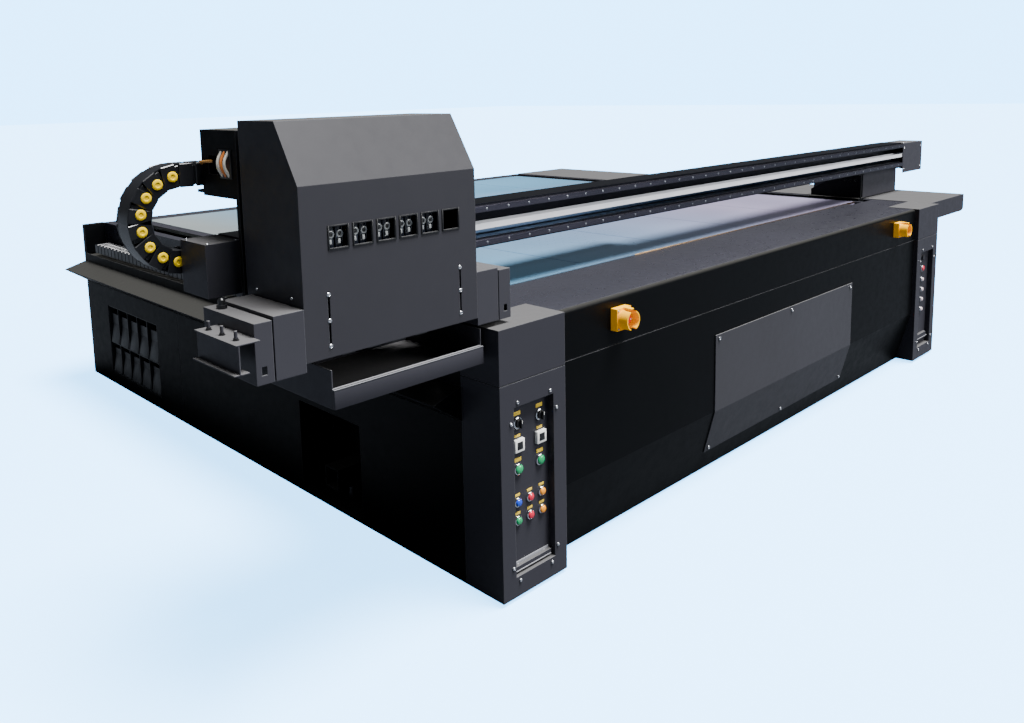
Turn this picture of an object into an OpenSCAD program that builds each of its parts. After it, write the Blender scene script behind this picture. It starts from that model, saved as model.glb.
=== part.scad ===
// Flatbed UV printer: a steel base with a vacuum table, a gantry that travels along
// the base, and a print carriage that crosses the gantry.
// x runs to the right, y runs to the rear and z runs up.
// Places are written from the left face, the column fronts and the floor, and the
// module machine() then moves the whole machine onto its own centre.

/* [Base] */
// Width of the base over both front columns
base_w = 3440; // [2850:10:4200]
// Depth of the base
base_d = 3260; // [2700:10:3950]
// Height of the table top above the floor
base_h = 850; // [760:5:1020]
// Space between the floor and the lower edge of the panels
floor_gap = 12; // [8:1:24]
// Thickness of the folded panels
sheet = 3; // [2:0.5:4]
// Width of each front column
column_w = 285; // [250:5:340]
// Depth of each front column
column_d = 165; // [130:5:220]
// Height of the band across the top of the front
band_h = 167; // [140:1:200]
// Distance of the front panels behind the column fronts
front_setback = 20; // [10:1:40]
// Height at which the lower front panel folds back
fold_h = 275; // [220:5:340]
// Distance that the toe of the front panel runs back
toe_back = 70; // [40:5:110]
// Radius of the front lip of the deck
lip_r = 14; // [8:1:20]

/* [Front cover plate] */
// Width of the screwed cover plate
plate_w = 1206; // [800:2:1500]
// Distance of the cover plate from the left face
plate_x = 1178; // [600:2:1400]
// Height of the plate's upper edge
plate_top = 580; // [480:5:640]
// Height of the plate's lower edge
plate_low = 96; // [60:2:160]
// Thickness of the cover plate
plate_t = 4; // [3:0.5:6]
// Radius of a panel screw's head
screw_r = 7; // [4:0.5:9]

/* [Table] */
// Strip between the left face and the table, for the chain and the rail
left_rim = 300; // [270:5:360]
// Strip between the table and the right face, for the rail
right_rim = 170; // [150:5:220]
// Distance of the table's front edge behind the column fronts
bed_y = 400; // [300:5:460]
// Strip between the table and the rear face
rear_rim = 150; // [120:5:300]
// Thickness of the vacuum table
bed_t = 40; // [30:1:50]

/* [Left side] */
// Drop from the table top to the ledge's tip
ledge_drop = 236; // [216:2:280]
// Reach of the ledge beyond the left face
ledge_out = 109; // [60:1:130]
// Width of the trough for the long drag chain
trough_w = 110; // [100:1:120]
// Drop from the table top to the open rim of the trough
rim_drop = 159; // [155:1:170]
// Length of the rear one of the two left side panels
rear_side_l = 1130; // [1000:10:1300]
// Rear panel's opening for the ink bottles, height
ink_bay_h = 365; // [300:5:400]
// Rear panel's opening for the ink bottles, length
ink_bay_l = 610; // [500:5:700]
// Number of ink bottles in a row
ink_count = 5; // [3:1:6]
// Length of the foot opening
niche_l = 390; // [300:5:450]
// Height of the foot opening
niche_h = 350; // [250:5:380]

/* [Wing] */
// Reach of the wing beyond the right face
wing_w = 538; // [400:2:600]
// Thickness of the wing
wing_t = 98; // [70:1:120]
// Chamfer under the wing's edge
wing_chamfer = 30; // [10:1:40]

/* [Gantry] */
// Distance from the table top to the underside of the beam
beam_lift = 153; // [130:1:180]
// Height of the beam
beam_h = 150; // [140:1:180]
// Depth of the beam
beam_d = 120; // [110:1:150]
// Distance of the beam's face behind the column fronts
beam_y = 393; // [380:1:420]
// Reach of the beam beyond the left face
beam_left = 673; // [650:1:720]
// Reach of the beam beyond the right face
beam_right = 772; // [740:1:820]
// Width of the profiled rails
rail_w = 20; // [18:1:25]
// Length of each gantry truck
truck_l = 300; // [240:10:320]

/* [Carriage] */
// Width of the carriage cover
cover_w = 562; // [520:2:620]
// Space between the cover at rest and the left face
park_gap = 37; // [30:1:60]
// Distance of the cover's face behind the column fronts
cover_y = 43; // [30:1:60]
// Depth of the cover
cover_d = 267; // [250:1:280]
// Height of the cover's lower edge above the table
cover_lift = 38; // [30:1:50]
// Height of the cover
cover_h = 577; // [540:1:640]
// Height of the cover's upright face
face_h = 426; // [400:1:460]
// Distance that the sloped panel runs back
slope_back = 92; // [60:1:120]
// Width of each lamp housing
lamp_w = 132; // [120:1:140]
// Height of the lamp housings' lower edge above the table
lamp_lift = 16; // [12:1:30]

/* [Drag chains] */
// Height of a link of the cross chain
link_h = 68; // [50:1:72]
// Height of a link of the long chain
y_link_h = 50; // [44:1:52]
// Width of the links
link_w = 80; // [60:1:84]
// Pitch of the links
link_pitch = 52; // [48:1:60]
// Bend radius of the cross chain, to the middle of a link
x_bend_r = 117; // [110:1:125]
// Bend radius of the long chain, to the middle of a link
y_bend_r = 55; // [50:1:56]

/* [Controls] */
// Width of the opening in each column
panel_w = 174; // [160:2:190]
// Height of the opening in each column
panel_h = 530; // [480:5:540]
// Height of the opening's lower edge
panel_z = 76; // [60:2:110]
// Depth of the recess
recess = 25; // [20:1:35]
// Radius of a small push button
small_r = 10; // [8:0.5:12]
// Radius of a large push button
large_r = 14; // [12:0.5:16]
// Travel of a push button
press = 4; // [3:0.5:6]
// Radius of the stop buttons' heads
stop_r = 20; // [16:0.5:22]

/* [Hidden] */
$fn = 48;

black_steel = "#1d1e22";
grey_steel = "#4b4c54";

clear = 0.5;                                     // gap beside a part that moves
touch = 0.01;                                    // cuts run this far past a face

// heights
beam_z = base_h + beam_lift;
beam_top = beam_z + beam_h;
cover_z = base_h + cover_lift;
cover_top = cover_z + cover_h;
seam_z = base_h - band_h;
deck_z = base_h - 2;

// table
bed_w = base_w - left_rim - right_rim;
bed_d = base_d - bed_y - rear_rim;
bed_z = base_h - bed_t;
side_seam = base_d - rear_side_l;
ledge_h = base_h - ledge_drop;
rim_h = base_h - rim_drop;

// the rails that carry the gantry
rail_left = (trough_w + left_rim) / 2 - 5;
rail_right = base_w - right_rim / 2;
slot_w = 90;
seam = 1;                                        // gap left beside a panel
front_x = [column_w + seam, base_w - column_w - seam];
side_y = [column_d + seam, base_d - sheet - seam];
rail_seat = base_h - 55;
rail_y0 = bed_y - 30;
rail_y1 = base_d - 25;
strip_y = [rail_y0 - 9, base_d - 20];
y_rail_h = 24;

// the frame
tube = 80;
tube_wall = 4;
low_tube_z = 84;
row_y = [240, 900, base_d * 0.6, base_d - 120];
foot_x = [90, base_w / 2, base_w - 90];

// the carriage at rest, and the belt
cover_x1 = -park_gap;
cover_x0 = cover_x1 - cover_w;
car_plate_t = 15;
car_plate_y = cover_y + cover_d + 15;
rail_out = 20;
pulley_r = 25;
belt_t = 2;
belt_w = 20;
belt_z = beam_z + 62;
channel_y = beam_y + 60;
pulley_y = beam_y + 20;
end_box_w = 104;
right_block_w = 308;
idler_x = -beam_left + end_box_w / 2;
drive_x = base_w + beam_right - 60;
upper_rail_z = beam_top - 28;
lower_rail_z = beam_z + 8;
beam_x = [-beam_left + end_box_w, base_w + beam_right - right_block_w];
channel_z = [beam_z + 34, beam_top - 34];
truck_y = beam_y + 7;

// travels, up to a stop at each end
stop_space = 35;
gantry_travel = rail_y1 - truck_y - truck_l - stop_space;
carriage_travel = beam_x[1] - cover_x1 - lamp_w - 9;

// the cross drag chain, behind the beam
x_lane = [beam_y + beam_d + 17, beam_y + beam_d + 17 + link_w];
x_low_z = beam_z + 48;                            // underside of the lower run
x_bend_x = cover_x0 - 56;
x_bend_z = x_low_z + link_h / 2 + x_bend_r;
x_anchor = x_bend_x + carriage_travel / 2 + 70;
link_gap = 0.3;
clamp_x = cover_x0 + 80;
chain_lead = clamp_x - x_bend_x - 1;

// the long drag chain, in the trough
y_lane = [(trough_w - link_w) / 2, (trough_w + link_w) / 2];
chain_under_lamp = 6;                             // space over the upper run for the lamps
y_low_z = base_h + lamp_lift - chain_under_lamp - y_link_h - 2 * y_bend_r;
y_bend_y = beam_y + 87;
y_bend_z = y_low_z + y_link_h / 2 + y_bend_r;
y_anchor = base_d - 110;
y_chain_lead = 170;
link_cap_r = 15;
cap_pitch = 2.6 * link_cap_r;

// extents of the whole machine
shroud_out = 45;
x_lo = x_bend_x - x_bend_r - link_h / 2;
x_hi = base_w + beam_right;
centre_x = (x_lo + x_hi) / 2;
centre_y = (base_d - shroud_out) / 2;

module machine() { translate([-centre_x, -centre_y, 0]) children(); }

// a box given by its limits along each axis
module slab(x, y, z) {
    translate([x[0], y[0], z[0]]) cube([x[1] - x[0], y[1] - y[0], z[1] - z[0]]);
}

// a y-z outline drawn out along x, and an x-z outline drawn out along y
module along_x(x) { translate([x[0], 0, 0]) rotate([90, 0, 90]) linear_extrude(x[1] - x[0]) children(); }
module along_y(y) { translate([0, y[1], 0]) rotate([90, 0, 0]) linear_extrude(y[1] - y[0]) children(); }

// a round bar along each axis, from its first end
module rod_x(p, r, l) { translate(p) rotate([0, 90, 0]) cylinder(h = l, r = r); }
module rod_y(p, r, l) { translate(p) rotate([-90, 0, 0]) cylinder(h = l, r = r); }
module rod_z(p, r, l) { translate(p) cylinder(h = l, r = r); }

// a low round screw head whose face looks to the front
module screw_front(p, r = screw_r) { rod_y([p[0], p[1] - 3, p[2]], r, 3); }

// ---------------------------------------------------------------- the base

post_x = [rail_left, base_w / 2, rail_right];
shaft_r = 15;
shaft_y = base_d - 60;
shaft_z = rail_seat - 145;
y_pulley_r = 30;

// rows of the cross bars under the table
bed_rows = concat(row_y, [bed_y + 60, bed_y + bed_d - 60]);
pad_w = 60;
pad_x = [left_rim + 140, base_w / 2 + 65, base_w - right_rim - 140];

// tubes of the frame; a positive inset gives the hollow inside them
module frame_bars(inset) {
    longer = inset > 0 ? 1 : 0;
    half = tube / 2 - inset;
    for (x = [rail_left, rail_right])
        slab([x - half, x + half], [row_y[0] - 50 - longer, base_d - 40 + longer],
             [rail_seat - 100 + inset, rail_seat - inset]);
    for (y = row_y) {
        slab([sheet - longer, base_w - sheet + longer], [y - half, y + half],
             [low_tube_z + inset, low_tube_z + tube - inset]);
        for (x = post_x)
            slab([x - half, x + half], [y - half, y + half], [low_tube_z + inset, rail_seat - 60]);
    }
    for (y = bed_rows)
        slab([rail_left, rail_right], [y - half, y + half],
             [rail_seat - 100 + inset, rail_seat - 20 - inset]);
}

// pads between the cross bars and the table
module table_pads() {
    for (x = pad_x, i = [1, 2, 4, 5])
        slab([x - pad_w / 2, x + pad_w / 2], [bed_rows[i] - pad_w / 2, bed_rows[i] + pad_w / 2],
             [rail_seat - 20 - tube_wall / 2, bed_z]);
}

// blocks behind the last cross bar that hold the cross shaft
module shaft_blocks() {
    for (x = [rail_left + 120, base_w / 2 + 60, rail_right - 140])
        slab([x, x + 20], [row_y[3] + tube / 2 - tube_wall / 2, shaft_y + 2 * shaft_r],
             [shaft_z - 2 * shaft_r, rail_seat - 60]);
}

module base_frame() {
    machine() color("#303238") difference() {
        union() {
            difference() {
                frame_bars(0);
                frame_bars(tube_wall);
            }
            table_pads();
            shaft_blocks();
        }
        rod_x([rail_left + 100, shaft_y, shaft_z], shaft_r + 0.05, rail_right - rail_left - 200);
    }
}

module levelling_foot() {
    cylinder(h = 14, r = 60);
    cylinder(h = low_tube_z, r = 12);
    translate([0, 0, low_tube_z - 16]) cylinder(h = 16, r = 21, $fn = 6);
}

module levelling_feet() {
    machine() color("#5a5c62") for (x = foot_x, y = row_y) translate([x, y, 0]) levelling_foot();
}

zone_lines = 4;
zone_line_w = 4;
top_plate = 12;
bottom_plate = 4;
rib_t = 8;
blower_x = [base_w * 0.36, base_w * 0.64];
blower_y = (row_y[1] + row_y[2]) / 2;
duct_r = 45;

// a hollow plate whose ribs part it into zones; each rib has gaps that let air through
module vacuum_table() {
    x1 = left_rim + bed_w;
    y1 = bed_y + bed_d;
    zone = (bed_w - 2 * rib_t) / (zone_lines + 1);
    z = [bed_z + bottom_plate, base_h - top_plate];
    machine() color("#a7a3ad") difference() {
        slab([left_rim, x1], [bed_y, y1], [bed_z, base_h]);
        for (i = [0:zone_lines]) {
            x = left_rim + rib_t + zone * i;
            slab([x, x + zone - (i == zone_lines ? 0 : rib_t)], [bed_y + rib_t, y1 - rib_t], z);
        }
        for (y = [0.25, 0.75])
            slab([left_rim + 2 * rib_t, x1 - 2 * rib_t], [bed_y + bed_d * y, bed_y + bed_d * y + 40], z);
        for (x = blower_x) rod_z([x, blower_y, bed_z - 1], duct_r - 5, bottom_plate + 2);
        for (i = [1:zone_lines]) {
            x = left_rim + bed_w * i / (zone_lines + 1);
            slab([x, x + zone_line_w], [bed_y + 60, y1 - 60], [base_h - 2, base_h + 1]);
        }
    }
}

blower_r = 160;
blower_h = 220;
blower_wall = 8;
motor_r = 90;
motor_h = 110;

// side-channel blowers under the table, each with its motor below and a duct above
module vacuum_blowers() {
    top = rail_seat - 140;
    inside = blower_r - blower_wall;
    machine() color("#6b6e75") for (x = blower_x) translate([x, blower_y, 0]) {
        difference() {
            rod_z([0, 0, top - blower_h], blower_r, blower_h);
            rod_z([0, 0, top - blower_h + blower_wall], inside, blower_h - 2 * blower_wall);
            rod_z([0, 0, top - blower_wall - 1], duct_r - 5, blower_wall + 2);
            slab([-24, 24], [0, blower_r + 1], [top - 84, top - 36]);
        }
        rod_z([0, 0, top - blower_h - motor_h], motor_r, motor_h);
        difference() {
            rod_z([0, 0, top - touch], duct_r, bed_z - top + touch);
            rod_z([0, 0, top - 1], duct_r - 5, bed_z - top + 2);
        }
        difference() {
            slab([-30, 30], [blower_r - 6, blower_r + 120], [top - 90, top - 30]);
            slab([-24, 24], [blower_r - 20, blower_r + 121], [top - 84, top - 36]);
        }
    }
}

// the covers round the table: a front apron, strips beside the rails and a rear strip
module deck_covers() {
    z = [deck_z - sheet, deck_z];
    front = front_setback + lip_r;
    slots = [for (x = [rail_left, rail_right]) [x - slot_w / 2, x + slot_w / 2]];
    machine() color(black_steel) {
        slab(front_x, [front + 1, bed_y - 1], z);
        slab([trough_w + sheet, column_w], [column_d + 1, rail_y0 - 10], z);
        slab([base_w - column_w, base_w - sheet - 1], [column_d + 1, rail_y0 - 10], z);
        slab([trough_w + sheet, slots[0][0]], strip_y, z);
        slab([slots[0][1], left_rim - 1], strip_y, z);
        slab([left_rim + bed_w + 1, slots[1][0]], strip_y, z);
        slab([slots[1][1], base_w - sheet - 1], strip_y, z);
        slab([left_rim, left_rim + bed_w], [bed_y + bed_d + 1, base_d - sheet - 1], z);
        slab([trough_w, trough_w + sheet], side_y, [rim_h - 8, deck_z]);
    }
}

module front_band() {
    machine() color(black_steel) along_x(front_x) difference() {
        union() {
            translate([front_setback, seam_z + 2]) square([sheet, band_h - 4 - lip_r]);
            translate([front_setback + lip_r, deck_z - lip_r]) circle(r = lip_r);
        }
        translate([front_setback + lip_r, deck_z - lip_r]) circle(r = lip_r - sheet);
        translate([front_setback + lip_r, deck_z - 2 * lip_r - 1]) square([2 * lip_r, 2 * lip_r + 2]);
        translate([front_setback + sheet, deck_z - 2 * lip_r - 1]) square([lip_r, lip_r + 1]);
    }
}

// outline of the folded front, moved out by d from the panel's face
function fold_slope() = toe_back / (fold_h - floor_gap);
function front_outline(d, low, top) = [
    [front_setback - d, top],
    [front_setback - d, fold_h],
    [front_setback - d + (fold_h - low) * fold_slope(), low],
];

module folded_sheet(x, d, t, low, top) {
    outer = front_outline(d, low, top);
    inner = front_outline(d - t, low, top);
    machine() along_x(x) polygon(concat(outer, [for (i = [2:-1:0]) inner[i]]));
}

module front_lower_panel() {
    color(black_steel) folded_sheet(front_x, 0, sheet, floor_gap, seam_z - 1);
}

plate_screws = [0.02, 0.5, 0.98];
plate_edge = 16;                                  // screws' distance from the plate's edges

// a screw head on the plate's sloped toe
module screw_toe(x, z) {
    face = front_setback - plate_t + (fold_h - z) * fold_slope();
    rod_y([x, face - 3, z], screw_r, 3 + plate_t / 2);
}

module front_cover_plate() {
    color(grey_steel) {
        folded_sheet([plate_x, plate_x + plate_w], plate_t, plate_t, plate_low, plate_top);
        machine() for (i = plate_screws) {
            screw_front([plate_x + plate_w * i, front_setback - plate_t, plate_top - plate_edge]);
            screw_toe(plate_x + plate_w * i, plate_low + plate_edge);
        }
    }
}

// ---------------------------------------------------------------- the columns

panel_x = (column_w - panel_w) / 2;
column_screw_r = 5;

// a hollow column with a framed opening; its upper part is a cap that lifts off
module column_shell() {
    color(grey_steel) {
        difference() {
            slab([0, column_w], [0, column_d], [floor_gap, seam_z - 1]);
            slab([sheet, column_w - sheet], [sheet, column_d + 1], [floor_gap - 1, seam_z - 1 - sheet]);
            slab([panel_x, panel_x + panel_w], [-1, sheet + 1], [panel_z, panel_z + panel_h]);
        }
        difference() {
            slab([panel_x - sheet, panel_x + panel_w + sheet], [sheet, recess],
                 [panel_z - sheet, panel_z + panel_h + sheet]);
            slab([panel_x, panel_x + panel_w], [sheet - 1, recess + 1], [panel_z, panel_z + panel_h]);
        }
        difference() {
            slab([0, column_w], [0, column_d], [seam_z + 1, base_h]);
            slab([sheet, column_w - sheet], [sheet, column_d + 1], [seam_z + 1 + sheet, base_h - sheet]);
        }
        for (x = [panel_x - 12, column_w - panel_x + 12], z = [panel_z + 34, panel_z + panel_h - 46])
            screw_front([x, 0, z], column_screw_r);
        for (x = [panel_x + 16, column_w - panel_x - 16], z = [panel_z - 14, panel_z + panel_h + 14])
            screw_front([x, 0, z], column_screw_r);
    }
}

module left_column() { machine() column_shell(); }
module right_column() { machine() translate([base_w - column_w, 0, 0]) column_shell(); }

// rows of controls, as heights above the opening's lower edge
pair_x = [column_w / 2 - 48, column_w / 2 + 48];
trio_x = [column_w / 2 - 53, column_w / 2, column_w / 2 + 53];
selector_z = panel_z + 469;
gauge_z = panel_z + 400;
large_z = panel_z + 324;
upper_z = panel_z + 220;
lower_z = panel_z + 162;
stem_r = 6;
right_x = base_w - column_w / 2;
right_red_z = panel_z + 430;
switch_z = [for (i = [0:3]) panel_z + 368 - 56 * i];
plate_y = [recess, recess + sheet];

module control_hole(x, z) { rod_y([x, recess - 1, z], stem_r + clear, sheet + 2); }

module gauge(x) {
    slab([x - 19, x + 19], [recess - 7, recess], [gauge_z - 19, gauge_z + 19]);
}

module control_plates() {
    inner_z = [panel_z - 20, panel_z + panel_h + 20];
    machine() color("#3c3d44") {
        difference() {
            slab([panel_x - 20, panel_x + panel_w + 20], plate_y, inner_z);
            for (x = pair_x, z = [selector_z, large_z]) control_hole(x, z);
            for (x = trio_x, z = [upper_z, lower_z]) control_hole(x, z);
        }
        for (x = pair_x) gauge(x);
        slab([panel_x + 8, panel_x + panel_w - 8], [recess - 14, recess], [panel_z + 8, panel_z + 24]);
        translate([base_w - column_w, 0, 0]) difference() {
            slab([panel_x - 20, panel_x + panel_w + 20], plate_y, inner_z);
            control_hole(column_w / 2, right_red_z);
            for (z = switch_z) control_hole(column_w / 2, z);
        }
        rod_y([right_x, recess - 10, panel_z + 490], 13, 10);
        slab([right_x - 60, right_x + 60], [recess - 14, recess], [panel_z + 30, panel_z + 62]);
    }
}

// a push button: its cap stands clear of the plate and its stem goes through it
module push_button(x, z, r, c) {
    machine() color(c) {
        rod_y([x, recess - press - 9, z], r, 8);
        rod_y([x, recess - press - 1.1, z], stem_r, sheet + press + 12);
    }
}

module selector(x) {
    machine() color("#101012") {
        rod_y([x, recess - press - 9, selector_z], 13, 8);
        slab([x - 3, x + 3], [recess - press - 19, recess - press - 9.1 + touch * 20],
             [selector_z - 13, selector_z + 13]);
        rod_y([x, recess - press - 1.1, selector_z], stem_r, sheet + press + 12);
    }
}

module left_selector_1() { selector(pair_x[0]); }
module left_selector_2() { selector(pair_x[1]); }
module green_button_1() { push_button(pair_x[0], large_z, large_r, "#0e8a55"); }
module green_button_2() { push_button(pair_x[1], large_z, large_r, "#0e8a55"); }
module blue_button() { push_button(trio_x[0], upper_z, small_r, "#1646c8"); }
module red_button_upper() { push_button(trio_x[1], upper_z, small_r, "#cc1f3a"); }
module amber_button_upper() { push_button(trio_x[2], upper_z, small_r, "#f09a1c"); }
module green_button_small() { push_button(trio_x[0], lower_z, small_r, "#0e8a55"); }
module red_button_lower() { push_button(trio_x[1], lower_z, small_r, "#cc1f3a"); }
module amber_button_lower() { push_button(trio_x[2], lower_z, small_r, "#f09a1c"); }
module right_red_button() { push_button(right_x, right_red_z, large_r, "#c01838"); }
module right_switch_1() { push_button(right_x, switch_z[0], small_r, "#d8c8c8"); }
module right_switch_2() { push_button(right_x, switch_z[1], small_r, "#d8c8c8"); }
module right_switch_3() { push_button(right_x, switch_z[2], small_r, "#d8c8c8"); }
module right_switch_4() { push_button(right_x, switch_z[3], small_r, "#d8c8c8"); }

// ---------------------------------------------------------------- emergency stops

stop_x = [575, base_w - 535];
stop_z = base_h - 78;
shroud_w = 74;
shroud_box_d = 26;
shroud_r = 34;

module estop_shroud(x) {
    face = front_setback - shroud_box_d;
    difference() {
        union() {
            slab([x - shroud_w / 2, x + shroud_w / 2], [face, front_setback],
                 [stop_z - shroud_w / 2, stop_z + shroud_w / 2]);
            rod_y([x, -shroud_out, stop_z], shroud_r, shroud_out + face + touch);
        }
        rod_y([x, -shroud_out - 1, stop_z], shroud_r - 4, shroud_out + face + 1);
        rod_y([x, face - 1, stop_z], stem_r + clear, shroud_box_d - 4);
        for (s = [-1, 1]) translate([0, 0, s * shroud_r])
            slab([x - 14, x + 14], [-shroud_out - 1, face - 12], [stop_z - 12, stop_z + 12]);
    }
}

module estop_shrouds() { machine() color("#f2b010") for (x = stop_x) estop_shroud(x); }

module stop_button(x) {
    face = front_setback - shroud_box_d;
    machine() color("#c8202a") {
        rod_y([x, face - press - 16, stop_z], stop_r, 13);
        rod_y([x, face - press - 3.1, stop_z], stem_r, press + 14);
    }
}

module estop_left() { stop_button(stop_x[0]); }
module estop_right() { stop_button(stop_x[1]); }

// ---------------------------------------------------------------- sides and rear

wall_top = ledge_h - ledge_out * 0.69;            // where the ledge's underside meets the wall
bay_y = [side_seam + 240, side_seam + 240 + ink_bay_l];
bay_z = [75, 75 + ink_bay_h];
niche_y = [row_y[1] - niche_l / 2, row_y[1] + niche_l / 2];
niche_z = [28, 28 + niche_h];

niche_d = 150;
niche_hole_r = 40;

// a box behind the foot opening; the cross tube and the foot's stem pass through it
module niche_liner() {
    difference() {
        slab([sheet - touch, niche_d], [niche_y[0] - sheet, niche_y[1] + sheet],
             [niche_z[0] - sheet, niche_z[1] + sheet]);
        slab([sheet - 1, niche_d - sheet], niche_y, niche_z);
        slab([niche_d - sheet - 1, niche_d + 1], [row_y[1] - tube / 2 - clear, row_y[1] + tube / 2 + clear],
             [low_tube_z - clear, low_tube_z + tube + clear]);
        rod_z([foot_x[0], row_y[1], niche_z[0] - sheet - 1], niche_hole_r, sheet + 2);
    }
}

module left_side_panels() {
    machine() color(black_steel) {
        difference() {
            slab([0, sheet], [column_d + 1, side_seam - 1], [floor_gap, wall_top]);
            slab([-1, sheet + 1], niche_y, niche_z);
        }
        niche_liner();
        difference() {
            slab([0, sheet], [side_seam + 1, base_d - sheet - 1], [floor_gap, wall_top]);
            slab([-1, sheet + 1], bay_y, bay_z);
        }
    }
}

rack_d = 190;
rack_wall = 4;
rack_pitch = (ink_bay_l - rack_wall) / ink_count;
shelf_z = bay_z[0] + ink_bay_h * 0.46;

module ink_rack() {
    x = [sheet, rack_d];
    machine() color("#2a2b2f") difference() {
        slab(x, bay_y, bay_z);
        for (i = [0:ink_count - 1]) {
            y0 = bay_y[0] + rack_wall + i * rack_pitch;
            y = [y0, y0 + rack_pitch - rack_wall];
            slab([sheet - 1, rack_d - rack_wall], y, [bay_z[0] + rack_wall, shelf_z - rack_wall]);
            slab([sheet - 1, rack_d - rack_wall], y, [shelf_z, bay_z[1] - rack_wall]);
        }
    }
}

module ink_bottle(y, z, h) {
    slab([sheet + 12, rack_d - 20], [y + 12, y + rack_pitch - rack_wall - 12], [z, z + h]);
    rod_z([rack_d * 0.5, y + (rack_pitch - rack_wall) / 2, z + h - touch], 18, 16);
}

module ink_bottles() {
    machine() color("#3b3c40") for (i = [0:ink_count - 1]) {
        y = bay_y[0] + rack_wall + i * rack_pitch;
        ink_bottle(y, bay_z[0] + rack_wall, shelf_z - bay_z[0] - 2 * rack_wall - 30);
        ink_bottle(y, shelf_z, bay_z[1] - shelf_z - rack_wall - 40);
    }
}

// the folded ledge, the open rim and the floor of the trough, with an end wall
module left_ledge() {
    inner = ledge_h + 34;
    machine() color(black_steel) {
        along_y(side_y) polygon([
            [0, wall_top + 1], [-ledge_out, ledge_h - 2], [-ledge_out, ledge_h + 2], [0, inner],
            [0, rim_h], [sheet, rim_h], [sheet, inner - 2], [-ledge_out + 8, ledge_h - 2],
            [sheet, wall_top + 3], [sheet, wall_top + 1],
        ]);
        slab([sheet, trough_w], side_y, [rim_h - sheet - 8, rim_h - 8]);
        slab([0, trough_w - 1], [base_d - 30, base_d - sheet - 1], [rim_h, base_h]);
        for (y = [column_d + 1, base_d - 2 * sheet - 1]) along_y([y, y + sheet]) polygon([
            [touch, wall_top + 1], [-ledge_out, ledge_h - 2], [-ledge_out, ledge_h + 2], [touch, inner],
        ]);
        difference() {
            slab([0, trough_w - 1], [column_d + 1, beam_y - 90], [rim_h - touch, base_h]);
            slab([sheet, trough_w - 1 - sheet], [column_d, beam_y - 90 - sheet],
                 [rim_h - 1, base_h - sheet]);
        }
    }
}

module right_side_panel() {
    machine() color(black_steel)
        slab([base_w - sheet, base_w], side_y,
             [floor_gap, base_h - wing_t - 2]);
}

module right_wing() {
    x0 = base_w + 1;
    x1 = base_w + wing_w;
    z0 = base_h - wing_t;
    machine() color(grey_steel) difference() {
        along_y([cover_y, base_d]) polygon([
            [x0, base_h], [x1, base_h], [x1, z0 + wing_chamfer * 0.4], [x1 - wing_chamfer, z0], [x0, z0],
        ]);
        slab([x0 + sheet, x1 - wing_chamfer], [cover_y + sheet, base_d + 1], [z0 + sheet, base_h - sheet]);
    }
}

vent_count = 12;

module rear_panel() {
    machine() color(black_steel) {
        difference() {
            slab([0, base_w], [base_d - sheet, base_d], [floor_gap, base_h - 3]);
            for (x = [base_w * 0.2, base_w * 0.72], i = [0:vent_count - 1])
                slab([x, x + 300], [base_d - sheet - 1, base_d + 1], [200 + i * 20, 208 + i * 20]);
            slab([base_w * 0.5 - 40, base_w * 0.5 + 40], [base_d - sheet - 1, base_d + 1], [130, 190]);
        }
        difference() {
            slab([base_w * 0.5 - 39.5, base_w * 0.5 + 39.5], [base_d - 60, base_d], [130.5, 189.5]);
            slab([base_w * 0.5 - 30, base_w * 0.5 + 30], [base_d - 30, base_d + 1], [140, 180]);
        }
    }
}

// ---------------------------------------------------------------- the gantry's drive

module profiled_rail(w, h) {
    polygon([[-w / 2, 0], [w / 2, 0], [w / 2, h * 0.45], [w * 0.36, h * 0.6], [w / 2, h * 0.78], [w / 2, h],
             [-w / 2, h], [-w / 2, h * 0.78], [-w * 0.36, h * 0.6], [-w / 2, h * 0.45]]);
}

module y_rails() {
    machine() color("#b9bcc4") for (x = [rail_left, rail_right])
        translate([x, 0, rail_seat]) along_y([rail_y0, rail_y1]) profiled_rail(rail_w, y_rail_h);
}

module y_drive_shaft() {
    machine() color("#8d9098") {
        rod_x([rail_left + 60, shaft_y, shaft_z], shaft_r, rail_right - rail_left - 120);
        for (x = [rail_left + 60, rail_right - 80]) rod_x([x, shaft_y, shaft_z], y_pulley_r, 20);
    }
}

module gantry_trucks() {
    block_h = 34;
    block_z = rail_seat + y_rail_h * 0.3;
    arm_z = max(base_h + 12, y_low_z + y_link_h + 2 * y_bend_r + link_gap + 1);
    y = [truck_y, truck_y + truck_l];
    machine() color("#3a3c42") {
        for (x = [rail_left, rail_right]) {
            difference() {
                slab([x - 30, x + 30], y, [block_z, block_z + block_h]);
                translate([x, 0, rail_seat]) along_y([y[0] - 1, y[1] + 1])
                    square([rail_w + 2 * clear, 2 * (y_rail_h + clear)], center = true);
            }
            slab([x - 35, x + 35], y, [block_z + block_h, base_h + 12]);
            difference() {
                translate([x, 0, 0]) along_x([-6, 6])
                    polygon([[y[0], base_h + 12], [y[1], base_h + 12], [y[1], base_h + 50],
                             [beam_y + beam_d, beam_z], [y[0], beam_z]]);
                for (i = [0:2]) rod_x([x - 10, y[0] + 30 + i * 32, beam_z - 40], 9, 20);
            }
            slab([x - 35, x + 35], [y[0], beam_y + beam_d], [beam_z - 8, beam_z]);
        }
        slab([y_lane[0] - 4, rail_left - 5], [y_bend_y + 90, y_bend_y + 170], [arm_z, arm_z + 8]);
    }
}

// ---------------------------------------------------------------- drag chains

chain_wall = 6;

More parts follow.
